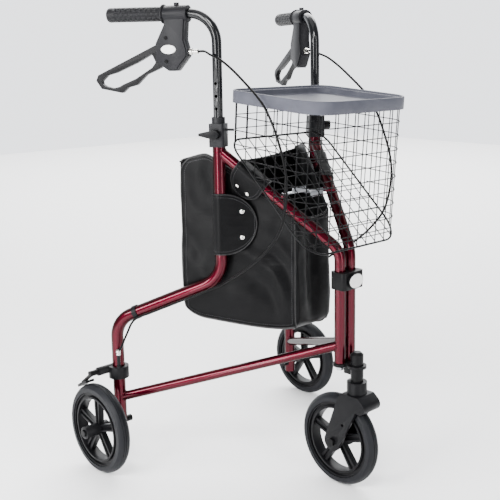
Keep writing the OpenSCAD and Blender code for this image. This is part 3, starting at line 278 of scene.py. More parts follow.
# %% [markdown]
# ### Coated cloth
# The bag is polyester cloth with a vinyl backing. Its threads, 0.4 mm apart, are too fine to show from a step
# away. What shows is a faint cross-hatch of shallow waves in the backing, level and aslant, that catches the
# light. A wave texture repeats 20 times in 2 pi of its own length, so a scale of 31.25 draws waves of 10 mm.

# %% Woven vinyl cloth and its piping
bag_cloth, tree, shader, place = finish_named("vinyl_backed_polyester", {
    "Roughness": 0.4, "Specular IOR Level": 0.075, "Sheen Weight": 0.02, "Sheen Roughness": 0.4, "IOR": 1.5})
wave_scale = 31.25
weft = add(tree, "ShaderNodeTexWave", {"wave_type": "BANDS", "bands_direction": "Z"},
           {"Scale": wave_scale, "Distortion": 0.6, "Detail": 1}, {"Vector": place})
warp = add(tree, "ShaderNodeTexWave", {"wave_type": "BANDS", "bands_direction": "DIAGONAL"},
           {"Scale": wave_scale, "Distortion": 0.6, "Detail": 1}, {"Vector": place})
threads = add(tree, "ShaderNodeMath", {"operation": "MULTIPLY"},
              links={0: weft.outputs["Fac"], 1: warp.outputs["Fac"]})
dust = add(tree, "ShaderNodeTexNoise", values={"Scale": per_mm(40), "Detail": 5}, links={"Vector": place})
shade = add(tree, "ShaderNodeValToRGB", links={"Fac": dust.outputs["Fac"]})
shade.color_ramp.elements[0].position = 0.3
shade.color_ramp.elements[0].color = linear("#050506")
shade.color_ramp.elements[1].position = 0.75
shade.color_ramp.elements[1].color = linear("#0a0a0b")
bump = add(tree, "ShaderNodeBump", values={"Strength": 0.3, "Distance": 0.0004},
           links={"Height": threads.outputs["Value"]})
tree.links.new(shade.outputs["Color"], shader.inputs["Base Color"])
tree.links.new(bump.outputs["Normal"], shader.inputs["Normal"])
# Piping: extruded vinyl, smoother and shinier than the cloth it edges
vinyl_piping = dark_finish("vinyl_piping", "#0b0b0c", "#121213", 3, 0.1, 0.36,
                           {"IOR": 1.53, "Specular IOR Level": 0.25})
# Polyester sewing thread, a little paler than the cloth
sewing_thread = dark_finish("polyester_thread", "#1c1c1f", "#252528", 0.8, 0.2, 0.55, {})
print("cloth with waves of", round(2 * math.pi / 20 / wave_scale / MM), "mm, piping and thread")

# %% [markdown]
# ### Studio floor
# Matt white sweep paper: nearly white, with a trace of fibre so that it isn't a flat colour.

# %% Sweep paper
sweep_paper, tree, shader, place = finish_named("matt_sweep_paper", {"Roughness": 0.9})
fibre = add(tree, "ShaderNodeTexNoise", values={"Scale": per_mm(9), "Detail": 4}, links={"Vector": place})
shade = add(tree, "ShaderNodeValToRGB", links={"Fac": fibre.outputs["Fac"]})
shade.color_ramp.elements[0].color = linear("#f6f6f6")
shade.color_ramp.elements[1].color = linear("#fcfcfc")
tree.links.new(shade.outputs["Color"], shader.inputs["Base Color"])
floor.data.materials.append(sweep_paper)
print(len(bpy.data.materials), "materials")

# %% [markdown]
# ### Studio dome
# The wall behind a product is lit white, and the room on the camera's side is dim, so that dark parts stay
# dark and only the soft boxes shine in them. The world does this with one smooth fade from back to front.

# %% World fade
to_wall, wall_light, room_light = (0.7, 0.7, 0.1), 2.6, 0.5
world = bpy.data.worlds.new("studio")
bpy.context.scene.world = world
world.use_nodes = True
dome = world.node_tree
view = add(dome, "ShaderNodeTexCoord").outputs["Generated"]
turned = add(dome, "ShaderNodeVectorMath", {"operation": "DOT_PRODUCT"}, {1: to_wall}, {0: view})
fade = add(dome, "ShaderNodeMapRange", {"interpolation_type": "SMOOTHSTEP"},
           {"From Min": 0.2, "From Max": 0.92, "To Min": room_light, "To Max": wall_light},
           {"Value": turned.outputs["Value"]})
dome.nodes["Background"].inputs["Color"].default_value = linear("#f8fafe")
dome.links.new(fade.outputs["Result"], dome.nodes["Background"].inputs["Strength"])
print("world fades from", wall_light, "behind to", room_light, "in front")

# %% [markdown]
# ## Finishes on the CAD parts
# Every CAD part gets the finish of the real one. The frame's tubes, the tyres, axles and small fittings keep
# their CAD meshes. Copies that later stand for a part take its finish along.

# %% Dress the CAD nodes
node_finish = {
    "main_tube": ruby_lacquer, "front_tube": ruby_lacquer, "lower_tube": ruby_lacquer,
    "handle_tube": black_enamel, "upper_hinge_bracket": black_powder, "lower_hinge_bracket": black_powder,
    "stem_housing": black_powder, "hinge_bolts": zinc_plate, "bag": bag_cloth, "clamp": grey_abs,
    "rear_axle": black_powder, "brake_bracket": black_nylon, "brake_cable": cable_sheath,
    "cable_fittings": black_nylon, "bag_flap": bag_cloth, "bag_strap": bag_cloth, "press_studs": nickel_plate,
    "grip": grip_rubber, "lever_housing": grey_abs, "barrel_adjuster": nickel_plate,
    "brake_lever": black_nylon, "brake_arm": black_powder, "brake_shoe": black_nylon,
    "clamp_knob": black_nylon, "fold_link": zinc_plate, "caster_fork": black_nylon,
    "front_axle": black_powder, "front_tyre": tyre_rubber, "front_rim": black_nylon,
    "rear_tyre": tyre_rubber, "rear_rim": black_nylon, "basket": black_powder, "tray": grey_polypropylene,
}


def finish_of(name):
    return node_finish[max((key for key in node_finish if name.startswith(key)), key=len)]


for name, part in nodes.items():
    part.data.materials.clear()
    part.data.materials.append(finish_of(name))
print(len(nodes), "CAD nodes dressed")

# %% [markdown]
# ## Places on the frame
# Each side frame stands in one upright plane that leans 30.6 degrees out from straight back. A point on it is
# named by its reach behind the hinge axis, its distance outwards from the plane, and its height. The handles
# toe in by 4.5 degrees from that plane. The functions give the point in the common frame, in metres, and a
# handle's own directions. The sizes of the tubes, in millimetres, are those of the CAD model.

# %% Points on a side frame and on a handle
SIDES = {"right": -1, "left": 1}
frame_turn = math.radians(30.6)
handle_turn = math.radians(30.6 - 4.5)
hinge_half_gap = 14.4
upright_reach, leg_reach = 240, 474
main_tube_r, front_tube_r, lower_tube_r = 12.7, 11.1, 9.5
up = Vector((0, 0, 1))
hinge_y = (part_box("hinge_bolts")[0].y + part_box("hinge_bolts")[1].y) / 2 / MM


def on_frame(side, back, out, z):
    x = side * (hinge_half_gap + back * math.sin(frame_turn) + out * math.cos(frame_turn))
    y = hinge_y + back * math.cos(frame_turn) - out * math.sin(frame_turn)
    return Vector((x, y, z)) * MM


def on_handle(side, back, out, z):
    start = on_frame(side, upright_reach, 0, z) / MM
    x = start.x + side * (back * math.sin(handle_turn) + out * math.cos(handle_turn))
    y = start.y + back * math.cos(handle_turn) - out * math.sin(handle_turn)
    return Vector((x, y, z)) * MM


def handle_direction(side, back, out):
    return (on_handle(side, back, out, 0) - on_handle(side, 0, 0, 0)).normalized()


print("hinge axis at y", round(hinge_y, 2), "mm")

# %% [markdown]
# ## Round wire from a path
# Basket wires, piping and cables are all a round section drawn along a path. Geometry Nodes does this well:
# the path is a chain of edges, Mesh to Curve makes it a curve, and Curve to Mesh sweeps a circle along it.
# The tree's inputs are the radius, the number of sides and the finish.


# %% Geometry Nodes: a wire along edges
def new_tree(name, inputs):
    tree = bpy.data.node_groups.new(name, "GeometryNodeTree")
    tree.interface.new_socket("Geometry", in_out="INPUT", socket_type="NodeSocketGeometry")
    for label, kind in inputs:
        tree.interface.new_socket(label, in_out="INPUT", socket_type=kind)
    tree.interface.new_socket("Geometry", in_out="OUTPUT", socket_type="NodeSocketGeometry")
    return tree, add(tree, "NodeGroupInput")


def close_tree(tree, geometry, material):
    smooth = add(tree, "GeometryNodeSetShadeSmooth", links={"Geometry": geometry})
    real = add(tree, "GeometryNodeRealizeInstances", links={"Geometry": smooth.outputs["Geometry"]})
    painted = add(tree, "GeometryNodeSetMaterial", links={"Geometry": real.outputs["Geometry"],
                                                         "Material": material})
    add(tree, "NodeGroupOutput", links={"Geometry": painted.outputs["Geometry"]})


wire_tree, given = new_tree("wire_along_edges", [("Radius", "NodeSocketFloat"), ("Sides", "NodeSocketInt"),
                                                 ("Finish", "NodeSocketMaterial")])
path = add(wire_tree, "GeometryNodeMeshToCurve", links={"Mesh": given.outputs["Geometry"]})
section = add(wire_tree, "GeometryNodeCurvePrimitiveCircle",
              links={"Radius": given.outputs["Radius"], "Resolution": given.outputs["Sides"]})
swept = add(wire_tree, "GeometryNodeCurveToMesh", values={"Fill Caps": True},
            links={"Curve": path.outputs["Curve"], "Profile Curve": section.outputs["Curve"]})
close_tree(wire_tree, swept.outputs["Mesh"], given.outputs["Finish"])
print("wire tree of", len(wire_tree.nodes), "nodes")


# %% Turn a tree's result into a plain piece
def place_mesh(name, mesh):
    piece = bpy.data.objects.new(name, mesh)
    bpy.context.scene.collection.objects.link(piece)
    return piece


def plain_mesh(piece):
    return bpy.data.meshes.new_from_object(piece.evaluated_get(bpy.context.evaluated_depsgraph_get()))


def grown(name, source, tree, inputs):
    modifier = source.modifiers.new("nodes", "NODES")
    modifier.node_group = tree
    for socket in tree.interface.items_tree:
        if socket.in_out == "INPUT" and socket.name in inputs:
            modifier[socket.identifier] = inputs[socket.name]
    mesh = plain_mesh(source)
    bpy.data.objects.remove(source)
    return place_mesh(name, mesh)


def wires(name, paths, radius_mm, finish, sides=8):
    points, edges = [], []
    for line, closed in paths:
        first = len(points)
        points += [tuple(p) for p in line]
        edges += [(first + i, first + i + 1) for i in range(len(line) - 1)]
        if closed:
            edges.append((len(points) - 1, first))
    mesh = bpy.data.meshes.new(name + "_path")
    mesh.from_pydata(points, edges, [])
    piece = grown(name, place_mesh(name + "_path", mesh), wire_tree,
                  {"Radius": radius_mm * MM, "Sides": sides, "Finish": finish})
    print(name, len(paths), "paths,", len(piece.data.polygons), "faces")
    return piece


# %% [markdown]
# ## The wire basket
# The basket is welded wire: a heavy rim and floor edge, and a grid of thin wires that follows the rounded
# corners. Its rear is shallow and its front deep, so the floor slopes. Each wire is a path in the basket's
# own axes, and one matrix puts the whole basket in its place, tilted 4.4 degrees. The thin uprights lie just
# inside the rows, as in a welded grid.

# %% The basket's plan and floor
basket_back, basket_height, basket_tilt = 60, 780, math.radians(4.4)
basket_frame = (Matrix.Translation(Vector((0, hinge_y + basket_back, basket_height)) * MM)
                @ Matrix.Rotation(basket_tilt, 4, "X"))
basket_half_w, basket_front, basket_rear = 132, 112, 118
front_r, rear_r = 45, 30
rim_z, rear_drop, front_drop = -16, 92, 275
mesh_pitch, rear_pitch, wire_inset = 27, 24, 1.8
mesh_wire_r, edge_wire_r = 1.0, 2.0
floor_slope = (front_drop - rear_drop) / (basket_front + basket_rear)


def floor_z(y):
    return -rear_drop - (basket_rear - y) * floor_slope


def corner(x, y, r, start, grow, steps):
    angles = [math.radians(start + 90 * i / steps) for i in range(steps + 1)]
    return [(x + (r + grow) * math.cos(a), y + (r + grow) * math.sin(a)) for a in angles]


def basket_plan(grow, steps=8):
    return (corner(basket_half_w - rear_r, basket_rear - rear_r, rear_r, 0, grow, steps)
            + corner(rear_r - basket_half_w, basket_rear - rear_r, rear_r, 90, grow, steps)
            + corner(front_r - basket_half_w, front_r - basket_front, front_r, 180, grow, steps)
            + corner(basket_half_w - front_r, front_r - basket_front, front_r, 270, grow, steps))


def in_basket(p):
    return basket_frame @ (Vector(p) * MM)


print("basket floor falls", round(math.degrees(math.atan(floor_slope)), 1), "degrees")


# %% Basket rows, cut where they meet the floor
def above_floor(z, steps=6):
    ring = basket_plan(0)
    start = max(range(len(ring)), key=lambda i: (ring[i][1], ring[i][0]))
    ring = ring[start:] + ring[:start]
    if z > floor_z(basket_rear):
        return [([in_basket((x, y, z)) for x, y in ring], True)]
    cut_y = basket_rear + (z + rear_drop) / floor_slope
    kept, line = [], []
    for (x0, y0), (x1, y1) in zip(ring, ring[1:] + ring[:1]):
        for i in range(steps):
            x, y = x0 + (x1 - x0) * i / steps, y0 + (y1 - y0) * i / steps
            if y < cut_y:
                line.append(in_basket((x, y, z)))
            elif line:
                kept.append((line, False))
                line = []
    return kept + ([(line, False)] if len(line) > 1 else [])


rows = []
lowest_row = 6 - front_drop
z = rim_z - mesh_pitch
while z > lowest_row:
    rows += above_floor(z)
    z -= mesh_pitch
print(len(rows), "basket rows")

# %% Basket uprights and floor grid
columns = [((i - 3) * mesh_pitch, -basket_front + wire_inset) for i in range(7)]
columns += [((i - 3.5) * rear_pitch, basket_rear - wire_inset) for i in range(8)]
columns += [(s * (basket_half_w - wire_inset), front_r - basket_front + 1 + mesh_pitch * i)
            for s in (-1, 1) for i in range(6)]
columns += [(s * (basket_half_w - front_r + (front_r - wire_inset) * math.sin(math.radians(a))),
             front_r - basket_front - (front_r - wire_inset) * math.cos(math.radians(a)))
            for s in (-1, 1) for a in (30, 60)]
uprights = [([in_basket((x, y, rim_z)), in_basket((x, y, floor_z(y)))], False) for x, y in columns]


def half_width(y):
    for r, limit in ((rear_r, basket_rear), (front_r, basket_front)):
        reach = abs(y) - (limit - r)
        if reach > 0 and (y > 0) == (r == rear_r):
            return basket_half_w - r + math.sqrt(max(r * r - reach * reach, 0))
    return basket_half_w


floor_wires = []
for i in range(9):
    x = (i - 4) * mesh_pitch
    short = max(0, abs(x) - (basket_half_w - front_r))
    front = -basket_front + front_r - math.sqrt(front_r ** 2 - short ** 2)
    short = max(0, abs(x) - (basket_half_w - rear_r))
    rear = basket_rear - rear_r + math.sqrt(rear_r ** 2 - short ** 2)
    floor_wires.append(([in_basket((x, y, floor_z(y) + wire_inset)) for y in (front, rear)], False))
floor_long = math.hypot(basket_front + basket_rear, front_drop - rear_drop)
for i in range(1, int(floor_long / mesh_pitch) + 1):
    y = basket_rear - (i * mesh_pitch - 1) * math.cos(math.atan(floor_slope))
    w = half_width(y)
    floor_wires.append(([in_basket((s * w, y, floor_z(y))) for s in (-1, 1)], False))
basket_mesh = wires("basket_mesh", rows + uprights + floor_wires, mesh_wire_r, black_powder, 6)

# %% Basket rim, floor edge and corner posts
rim = [in_basket((x, y, rim_z)) for x, y in basket_plan(0, 12)]
floor_edge = [in_basket((x, y, floor_z(y))) for x, y in basket_plan(0, 12)]
corner_x, corner_y = basket_half_w - rear_r - hinge_half_gap, 153.1
post_turn = math.atan2(corner_y, corner_x)
post_x = basket_half_w - rear_r + rear_r * math.cos(post_turn)
post_y = basket_rear - rear_r * (1 - math.sin(post_turn))
posts = [([in_basket((s * post_x, post_y, z)) for z in (floor_z(post_y), rim_z)], False) for s in (-1, 1)]
edge_paths = [(rim, True), (floor_edge, True)] + posts
basket_edges = wires("basket_edge_wires", edge_paths, edge_wire_r, black_powder, 12)
mesh_parts = ["basket_front_mesh", "basket_right_mesh", "basket_left_mesh", "basket_floor_mesh",
              "basket_rear_mesh"]
for piece, parts in ((basket_mesh, mesh_parts), (basket_edges, ["basket_edges"])):
    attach(piece, "basket")
    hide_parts(*parts)

# %% [markdown]
# ## The tray
# The tray is one polypropylene moulding that drops over the basket's rim: a skirt, a rolled lip, a sloping
# inner wall and a flat floor. It is a loft: the same rounded plan at many sizes and heights, joined ring by
# ring. Rings set close together at the lip and the floor make the small radii of a real moulding.


# %% Loft of the tray
def loft(name, rings, close_first=False, close_last=False):
    count = len(rings[0])
    points = [tuple(p) for ring in rings for p in ring]
    faces = []
    for k in range(len(rings) - 1):
        for i in range(count):
            j = (i + 1) % count
            faces.append((k * count + i, k * count + j, (k + 1) * count + j, (k + 1) * count + i))
    if close_first:
        faces.append(tuple(reversed(range(count))))
    if close_last:
        faces.append(tuple(range((len(rings) - 1) * count, len(rings) * count)))
    mesh = bpy.data.meshes.new(name)
    mesh.from_pydata(points, [], faces)
    mesh.shade_smooth()
    return mesh


tray_section = [(-9, -13.9), (2.2, -13.9), (2.9, -14.3), (3, -17.6), (3.4, -18), (5.6, -18), (6, -17.6),
                (6, 3.6), (5.6, 5), (4.6, 5.8), (3.2, 6), (2.0, 5.8), (1.2, 5.2), (0.8, 4.2), (0.6, 2.6),
                (0.1, 2.1), (-2.2, 1.9), (-3.2, 1.2), (-3.7, -0.4), (-4.6, -7.2), (-5.6, -9.2), (-7.6, -10),
                (-9, -10)]
tray_mesh = loft("tray_moulding", [[in_basket((x, y, z)) for x, y in basket_plan(grow, 12)]
                                   for grow, z in tray_section], True, True)
tray_mesh.set_sharp_from_angle(angle=math.radians(50))
tray_mesh.materials.append(grey_polypropylene)
tray = place_mesh("tray_moulding", tray_mesh)
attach(tray, "tray")
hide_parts("tray")
print("tray", len(tray_section), "rings")

# %% [markdown]
# ## Soft edges on the mouldings
# A moulded or cast part never has a knife edge: each one is rounded by a millimetre or so and catches a thin
# line of light. The CAD meshes have sharp edges, so a copy of each moulding is merged, its flat faces are
# joined again, and a small bevel rounds what is sharp. The copy stands for the CAD part. The pressed links
# and the handle tubes, whose gloss shows every unevenness, are treated in the same way with a finer edge.


# %% A bevelled copy of a CAD part
def softened(node, body, width_mm, slot, segments):
    mesh = nodes[node].data.copy()
    shape = bmesh.new()
    shape.from_mesh(mesh)
    bmesh.ops.remove_doubles(shape, verts=shape.verts, dist=0.00002)
    bmesh.ops.dissolve_limit(shape, angle_limit=math.radians(1), verts=shape.verts, edges=shape.edges)
    shape.to_mesh(mesh)
    shape.free()
    piece = place_mesh(node + "_soft", mesh)
    bevel = piece.modifiers.new("soft_edges", "BEVEL")
    bevel.width = width_mm * MM
    bevel.segments = segments
    bevel.limit_method = "ANGLE"
    bevel.angle_limit = math.radians(35)
    rounded = plain_mesh(piece)
    piece.modifiers.clear()
    piece.data = rounded
    rounded.shade_smooth()
    rounded.set_sharp_from_angle(angle=math.radians(40))
    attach(piece, body)
    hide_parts(node)
    return piece


# Each part, its body, the width of its edges in millimetres, its slot and the steps of the bevel
side_parts = [
    ("handle_tube", "handle", 0.3, "black_tube", 1), ("clamp", "frame", 1.2, "dark_plastic", 2),
    ("clamp_knob", "knob", 1.2, "black_plastic", 2), ("lever_housing", "handle", 1.0, "dark_plastic", 2),
    ("brake_lever", "lever", 1.6, "dark_plastic", 3), ("brake_bracket", "frame", 1.0, "black_plastic", 2),
    ("rear_rim", "wheel", 0.8, "black_plastic", 2), ("fold_link", "link", 0.4, "zinc", 2)]
middle_parts = [
    ("front_rim", "front_wheel", 0.8, "black_plastic", 2), ("caster_fork", "fork", 1.6, "black_plastic", 3),
    ("upper_hinge_bracket", "front_hinge", 1.2, "black_plastic", 2),
    ("lower_hinge_bracket", "front_hinge", 0.8, "black_steel", 2)]
made = [softened(part + "_" + side, side + "_" + body, *rest)
        for side in SIDES for part, body, *rest in side_parts]
made += [softened(*row) for row in middle_parts]
print(len(made), "parts with soft edges")

# %% [markdown]
# ## The bag
# The bag is a sewn pouch that hangs between the side frames: two side panels, a front, a back and a soft
# bottom, edged with piping. Cloth simulation would settle it, but the shape is held on three sides, so a loft
# with a belly, a tucked bottom, a sagging mouth and seeded wrinkles gives the same look and is always the
# same. Each ring of the loft is the plan of the bag at one height.

# %% The bag's plan
bag_in, bag_front_back, bag_rear_back = 15.2, 88, 334
bag_low, bag_front_top, bag_crest, bag_rear_top = 325, 545, 670, 650


def bag_corner(back, side):
    x = hinge_half_gap + back * math.sin(frame_turn) - bag_in * math.cos(frame_turn)
    return Vector((side * x, back * math.cos(frame_turn) + bag_in * math.sin(frame_turn)))


def rounded_plan(corners, radii, segments, arc_steps=5):
    outline = []
    count = len(corners)
    for i, p in enumerate(corners):
        into = (p - corners[i - 1]).normalized()
        away = (corners[(i + 1) % count] - p).normalized()
        bend = into.angle(away)
        reach = radii[i] * math.tan(bend / 2)
        start, centre = p - into * reach, p - into * reach + Vector((-into.y, into.x)) * radii[i]
        for k in range(arc_steps + 1):
            spoke = Matrix.Rotation(bend * k / arc_steps, 2) @ (start - centre)
            outline.append(centre + spoke)
        after = corners[(i + 1) % count]
        bend_after = away.angle((corners[(i + 2) % count] - after).normalized())
        stop = after - away * radii[(i + 1) % count] * math.tan(bend_after / 2)
        begin = outline[-1]
        outline += [begin.lerp(stop, k / segments[i]) for k in range(1, segments[i])]
    return outline


bag_plan = rounded_plan([bag_corner(bag_front_back, -1), bag_corner(bag_front_back, 1),
                         bag_corner(bag_rear_back, 1), bag_corner(bag_rear_back, -1)],
                        [8, 8, 4, 4], [22, 40, 36, 40])
print("bag plan has", len(bag_plan), "points")


# %% The bag's mouth and bottom
def soft_least(a, b, soft):
    return -soft * math.log(math.exp(-a / soft) + math.exp(-b / soft))


bag_front_y, bag_crest_y, bag_rear_y = 76, 243, 302
front_slack, rear_slack = 9, 15
bottom_sag, bottom_run, bottom_r = 15, 194, 42


def mouth_z(x, y):
    climbed = max(y - bag_front_y, 0) / (bag_crest_y - bag_front_y)
    rise = bag_front_top + (bag_crest - bag_front_top) * climbed
    fall = bag_crest + (bag_rear_top - bag_crest) * (y - bag_crest_y) / (bag_rear_y - bag_crest_y)
    half = hinge_half_gap + y * math.tan(frame_turn) - bag_in / math.cos(frame_turn)
    slack = max(0, 1 - (x / half) ** 2) * (front_slack if y < bag_crest_y else rear_slack)
    return soft_least(rise - bag_low, fall - bag_low, 4) + bag_low - 1 - slack


def bottom_z(y):
    reach = y - (bag_corner(bag_rear_back, 1).y - bottom_r)
    share = min(max((y - bag_front_y) / bottom_run, 0), 1)
    sag = bottom_sag * math.sin(math.pi * share ** 0.55)
    rounding = bottom_r - math.sqrt(bottom_r ** 2 - min(max(reach, 0), bottom_r - 1) ** 2)
    return bag_low + 2 - sag + rounding


print("mouth from", round(mouth_z(0, bag_front_y)), "to", round(mouth_z(0, bag_crest_y)), "mm up")


# %% The bag's folds
panel_corner = 34
fold_lean, fold_pitch, fold_height = 1.15, 66, 3.4
tuck_depth, belly_height, cloth_inset = 9, 3.0, 1.8
panel_hollow, front_hollow_w, rear_hollow_w = 11, 17, 34


def drape(p, z):
    across = (z - fold_lean * p.y) / 1.5
    sway = noise.noise(Vector((p.x * 0.006, p.y * 0.008, z * 0.008)))
    strength = 0.35 + max(noise.noise(Vector((p.x * 0.01 + 3, p.y * 0.009, z * 0.006))), 0) * 2
    edge = min(bag_corner(bag_rear_back, 1).y - p.y, p.y - bag_corner(bag_front_back, 1).y) / 40
    wave = math.sin(2 * math.pi * (across / fold_pitch + 0.9 * sway))
    return fold_height * min(max(edge, 0), 1) * strength * wave


def bag_offset(p, outward, t, z):
    tuck = -tuck_depth * max(0, 1 - t / 0.07) ** 2
    belly = belly_height * math.sin(math.pi * min(t / 0.55, 1))
    crease = noise.noise(Vector((p.x * 0.05, p.y * 0.05, z * 0.03 + 7))) * 0.9
    end_panel = abs(outward.y) > 0.9
    if end_panel:
        width = front_hollow_w if outward.y < 0 else rear_hollow_w
        ripple = 5 * noise.noise(Vector((p.x * 0.021, 5, z * 0.007)))
        crease += -panel_hollow * math.exp(-(p.x / width) ** 2) + ripple
        past = 0
    else:
        crease += drape(p, z)
        middle_y = bag_corner(bag_rear_back - panel_corner, 1).y
        past_rear = max(p.y - middle_y, 0) / math.cos(frame_turn)
        past_top = max(z - mouth_z(p.x, p.y) + panel_corner, 0)
        past = min(max(Vector((past_rear, past_top)).length - panel_corner + 1, 0), 5)
    return tuck + belly - cloth_inset + crease * min(t * 4, (1 - t) * 6 + 0.25, 1) - past


def bag_surface(p, outward, t, z, lift):
    q = p + outward * (bag_offset(p, outward, t, z) + lift)
    return Vector((q.x, q.y + hinge_y, z)) * MM


def bag_point(i, t):
    p, before, after = bag_plan[i], bag_plan[i - 1], bag_plan[(i + 1) % len(bag_plan)]
    along = (after - before).normalized()
    outward = Vector((along.y, -along.x))
    z = bottom_z(p.y) + t * (mouth_z(p.x, p.y) - bottom_z(p.y))
    return bag_surface(p, outward, t, z, 0)


def bag_side(s, back, z, lift):
    p = bag_corner(back, s)
    outward = Vector((s * math.cos(frame_turn), -math.sin(frame_turn)))
    t = (z - bottom_z(p.y)) / (mouth_z(p.x, p.y) - bottom_z(p.y))
    return bag_surface(p, outward, t, z, lift)


print("folds about", fold_pitch, "mm apart and", fold_height, "mm high")

# %% Loft of the bag
bag_rows = [0, 0.012, 0.03, 0.05, 0.075] + [0.11 + 0.89 * k / 34 for k in range(35)]
bag_rings = [[bag_point(i, t) for i in range(len(bag_plan))] for t in bag_rows]
middle = sum(bag_rings[0], Vector()) / len(bag_plan)
bottom_rings = []
for share in (0.08, 0.3, 0.55, 0.78, 0.92):
    ring = [middle.lerp(p, share) for p in bag_rings[0]]
    bottom_rings.append([Vector((p.x, p.y, bottom_z(p.y / MM - hinge_y) * MM)) for p in ring])
bag_mesh = loft("bag_pouch", bottom_rings + bag_rings, close_first=True)
bag_mesh.materials.append(bag_cloth)
bag = place_mesh("bag_pouch", bag_mesh)
print("bag loft of", len(bottom_rings + bag_rings), "rings")


# %% Thickness and smoothing
bag_wall, flap_wall = 2.2, 2.0


def finished(piece, thickness_mm, offset):
    wall = piece.modifiers.new("thickness", "SOLIDIFY")
    wall.thickness, wall.offset = thickness_mm * MM, offset
    smooth = piece.modifiers.new("smooth", "SUBSURF")
    smooth.levels = smooth.render_levels = 1
    mesh = plain_mesh(piece)
    piece.modifiers.clear()
    piece.data = mesh
    mesh.shade_smooth()
    return piece


finished(bag, bag_wall, -1)
print("bag", len(bag.data.polygons), "faces")

# %% [markdown]
# ### Piping and hem
# Vinyl piping is sewn into the edges that rub: along the mouth and right round each side panel, whose rear
# top corner is rounded. Inside the piping runs a row of stitches. A panel's line is worked out as reach and
# height, laid on the bag's own surface, and drawn as a wire; the stitches are made by a second tree that
# places one small piece at each point and turns it to face outwards along the seam.


# %% Piping on the bag
bag_piping_r = 1.9
seam_front, seam_rear, seam_top, seam_low = 5, 7, 2.5, 5


def panel_line(s, inset, lift):
    front, rear = bag_front_back + seam_front + inset, bag_rear_back - seam_rear - inset
    round_r = panel_corner - inset

    def top(back):
        p = bag_corner(back, s)
        return mouth_z(p.x, p.y) - seam_top - inset

    def low(back):
        return bottom_z(bag_corner(back, s).y) + seam_low + inset

    bend = rear - round_r
    line = [(front + (bend - front) * k / 36, top(front + (bend - front) * k / 36)) for k in range(36)]
    around = [math.pi / 2 * (1 - k / 10) for k in range(11)]
    line += [(bend + round_r * math.cos(a), top(bend) - round_r + round_r * math.sin(a)) for a in around]
    high = line[-1][1]
    line += [(rear, high + (low(rear) - high) * k / 24) for k in range(1, 24)]
    line += [(rear + (front - rear) * (k / 48) ** 1.5, low(rear + (front - rear) * (k / 48) ** 1.5))
             for k in range(49)]
    line += [(front, low(front) + (top(front) - low(front)) * k / 20) for k in range(1, 20)]
    return [bag_side(s, back, z, lift) for back, z in line]


seams = [(bag_rings[-1], True)] + [(panel_line(s, 0, 0.3), True) for s in SIDES.values()]
bag_piping = wires("bag_piping", seams, bag_piping_r, vinyl_piping)


# %% Geometry Nodes: one piece at each point
points_tree, given = new_tree("piece_at_points", [("Piece", "NodeSocketObject"),
                                                  ("Finish", "NodeSocketMaterial")])
facing, along = (add(points_tree, "GeometryNodeInputNamedAttribute", {"data_type": "FLOAT_VECTOR"},
                     {"Name": label}) for label in ("facing", "along"))
upright = add(points_tree, "FunctionNodeAlignRotationToVector", {"axis": "Z"},
              links={"Vector": facing.outputs["Attribute"]})
turned = add(points_tree, "FunctionNodeAlignRotationToVector", {"axis": "X", "pivot_axis": "Z"},
             links={"Rotation": upright.outputs["Rotation"], "Vector": along.outputs["Attribute"]})
shape_in = add(points_tree, "GeometryNodeObjectInfo", {"transform_space": "ORIGINAL"},
               links={"Object": given.outputs["Piece"]})
copies = add(points_tree, "GeometryNodeInstanceOnPoints",
             links={"Points": given.outputs["Geometry"], "Instance": shape_in.outputs["Geometry"],
                    "Rotation": turned.outputs["Rotation"]})
close_tree(points_tree, copies.outputs["Instances"], given.outputs["Finish"])
print("points tree of", len(points_tree.nodes), "nodes")


def repeated(name, shape_mesh, spots, finish):
    shape = place_mesh(name + "_shape", shape_mesh)
    mesh = bpy.data.meshes.new(name + "_spots")
    mesh.from_pydata([tuple(p) for p, _, _ in spots], [], [])
    for label, k in (("facing", 1), ("along", 2)):
        values = mesh.attributes.new(label, "FLOAT_VECTOR", "POINT")
        values.data.foreach_set("vector", [c for spot in spots for c in spot[k]])
    piece = grown(name, place_mesh(name + "_spots", mesh), points_tree, {"Piece": shape, "Finish": finish})
    bpy.data.objects.remove(shape)
    print(name, len(spots), "copies,", len(piece.data.polygons), "faces")
    return piece


def block(name, size_mm, bevel_mm):
    shape = bmesh.new()
    bmesh.ops.create_cube(shape, size=1)
    bmesh.ops.scale(shape, vec=Vector(size_mm) * MM, verts=shape.verts)
    bmesh.ops.bevel(shape, geom=shape.edges, offset=bevel_mm * MM, segments=1, affect="EDGES")
    mesh = bpy.data.meshes.new(name)
    shape.to_mesh(mesh)
    shape.free()
    return mesh


# %% Stitches under the mouth and inside the piping
stitch_size, stitch_pitch = (3.2, 0.7, 0.7), 4.5
hem_inset, panel_inset = 0.009, 7


def along_line(line, closed=True):
    spots, left = [], 0
    stops = line + line[:1] if closed else line
    for a, b in zip(stops, stops[1:]):
        length = (b - a).length
        while left < length:
            spots.append((a.lerp(b, left / length), (b - a).normalized()))
            left += stitch_pitch * MM
        left -= length
    return spots


def stitched(name, spots):
    return repeated(name, block("stitch", stitch_size, 0.2), spots, sewing_thread)


hem = [top.lerp(low, min(hem_inset / max((top - low).length, hem_inset), 1))
       for top, low in zip(bag_rings[-1], bag_rings[-2])]
spots = []
for p, direction in along_line(hem):
    outward = Vector((direction.y, -direction.x, 0)).normalized()
    spots.append((p + outward * 0.0003, outward, direction))
for s in SIDES.values():
    face = Vector((s * math.cos(frame_turn), -math.sin(frame_turn), 0))
    spots += [(p, face, direction) for p, direction in along_line(panel_line(s, panel_inset, 0.2))]
bag_stitches = stitched("bag_stitches", spots)
for piece in (bag, bag_piping, bag_stitches):
    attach(piece, "front_hinge")
    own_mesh(piece)
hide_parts("bag")

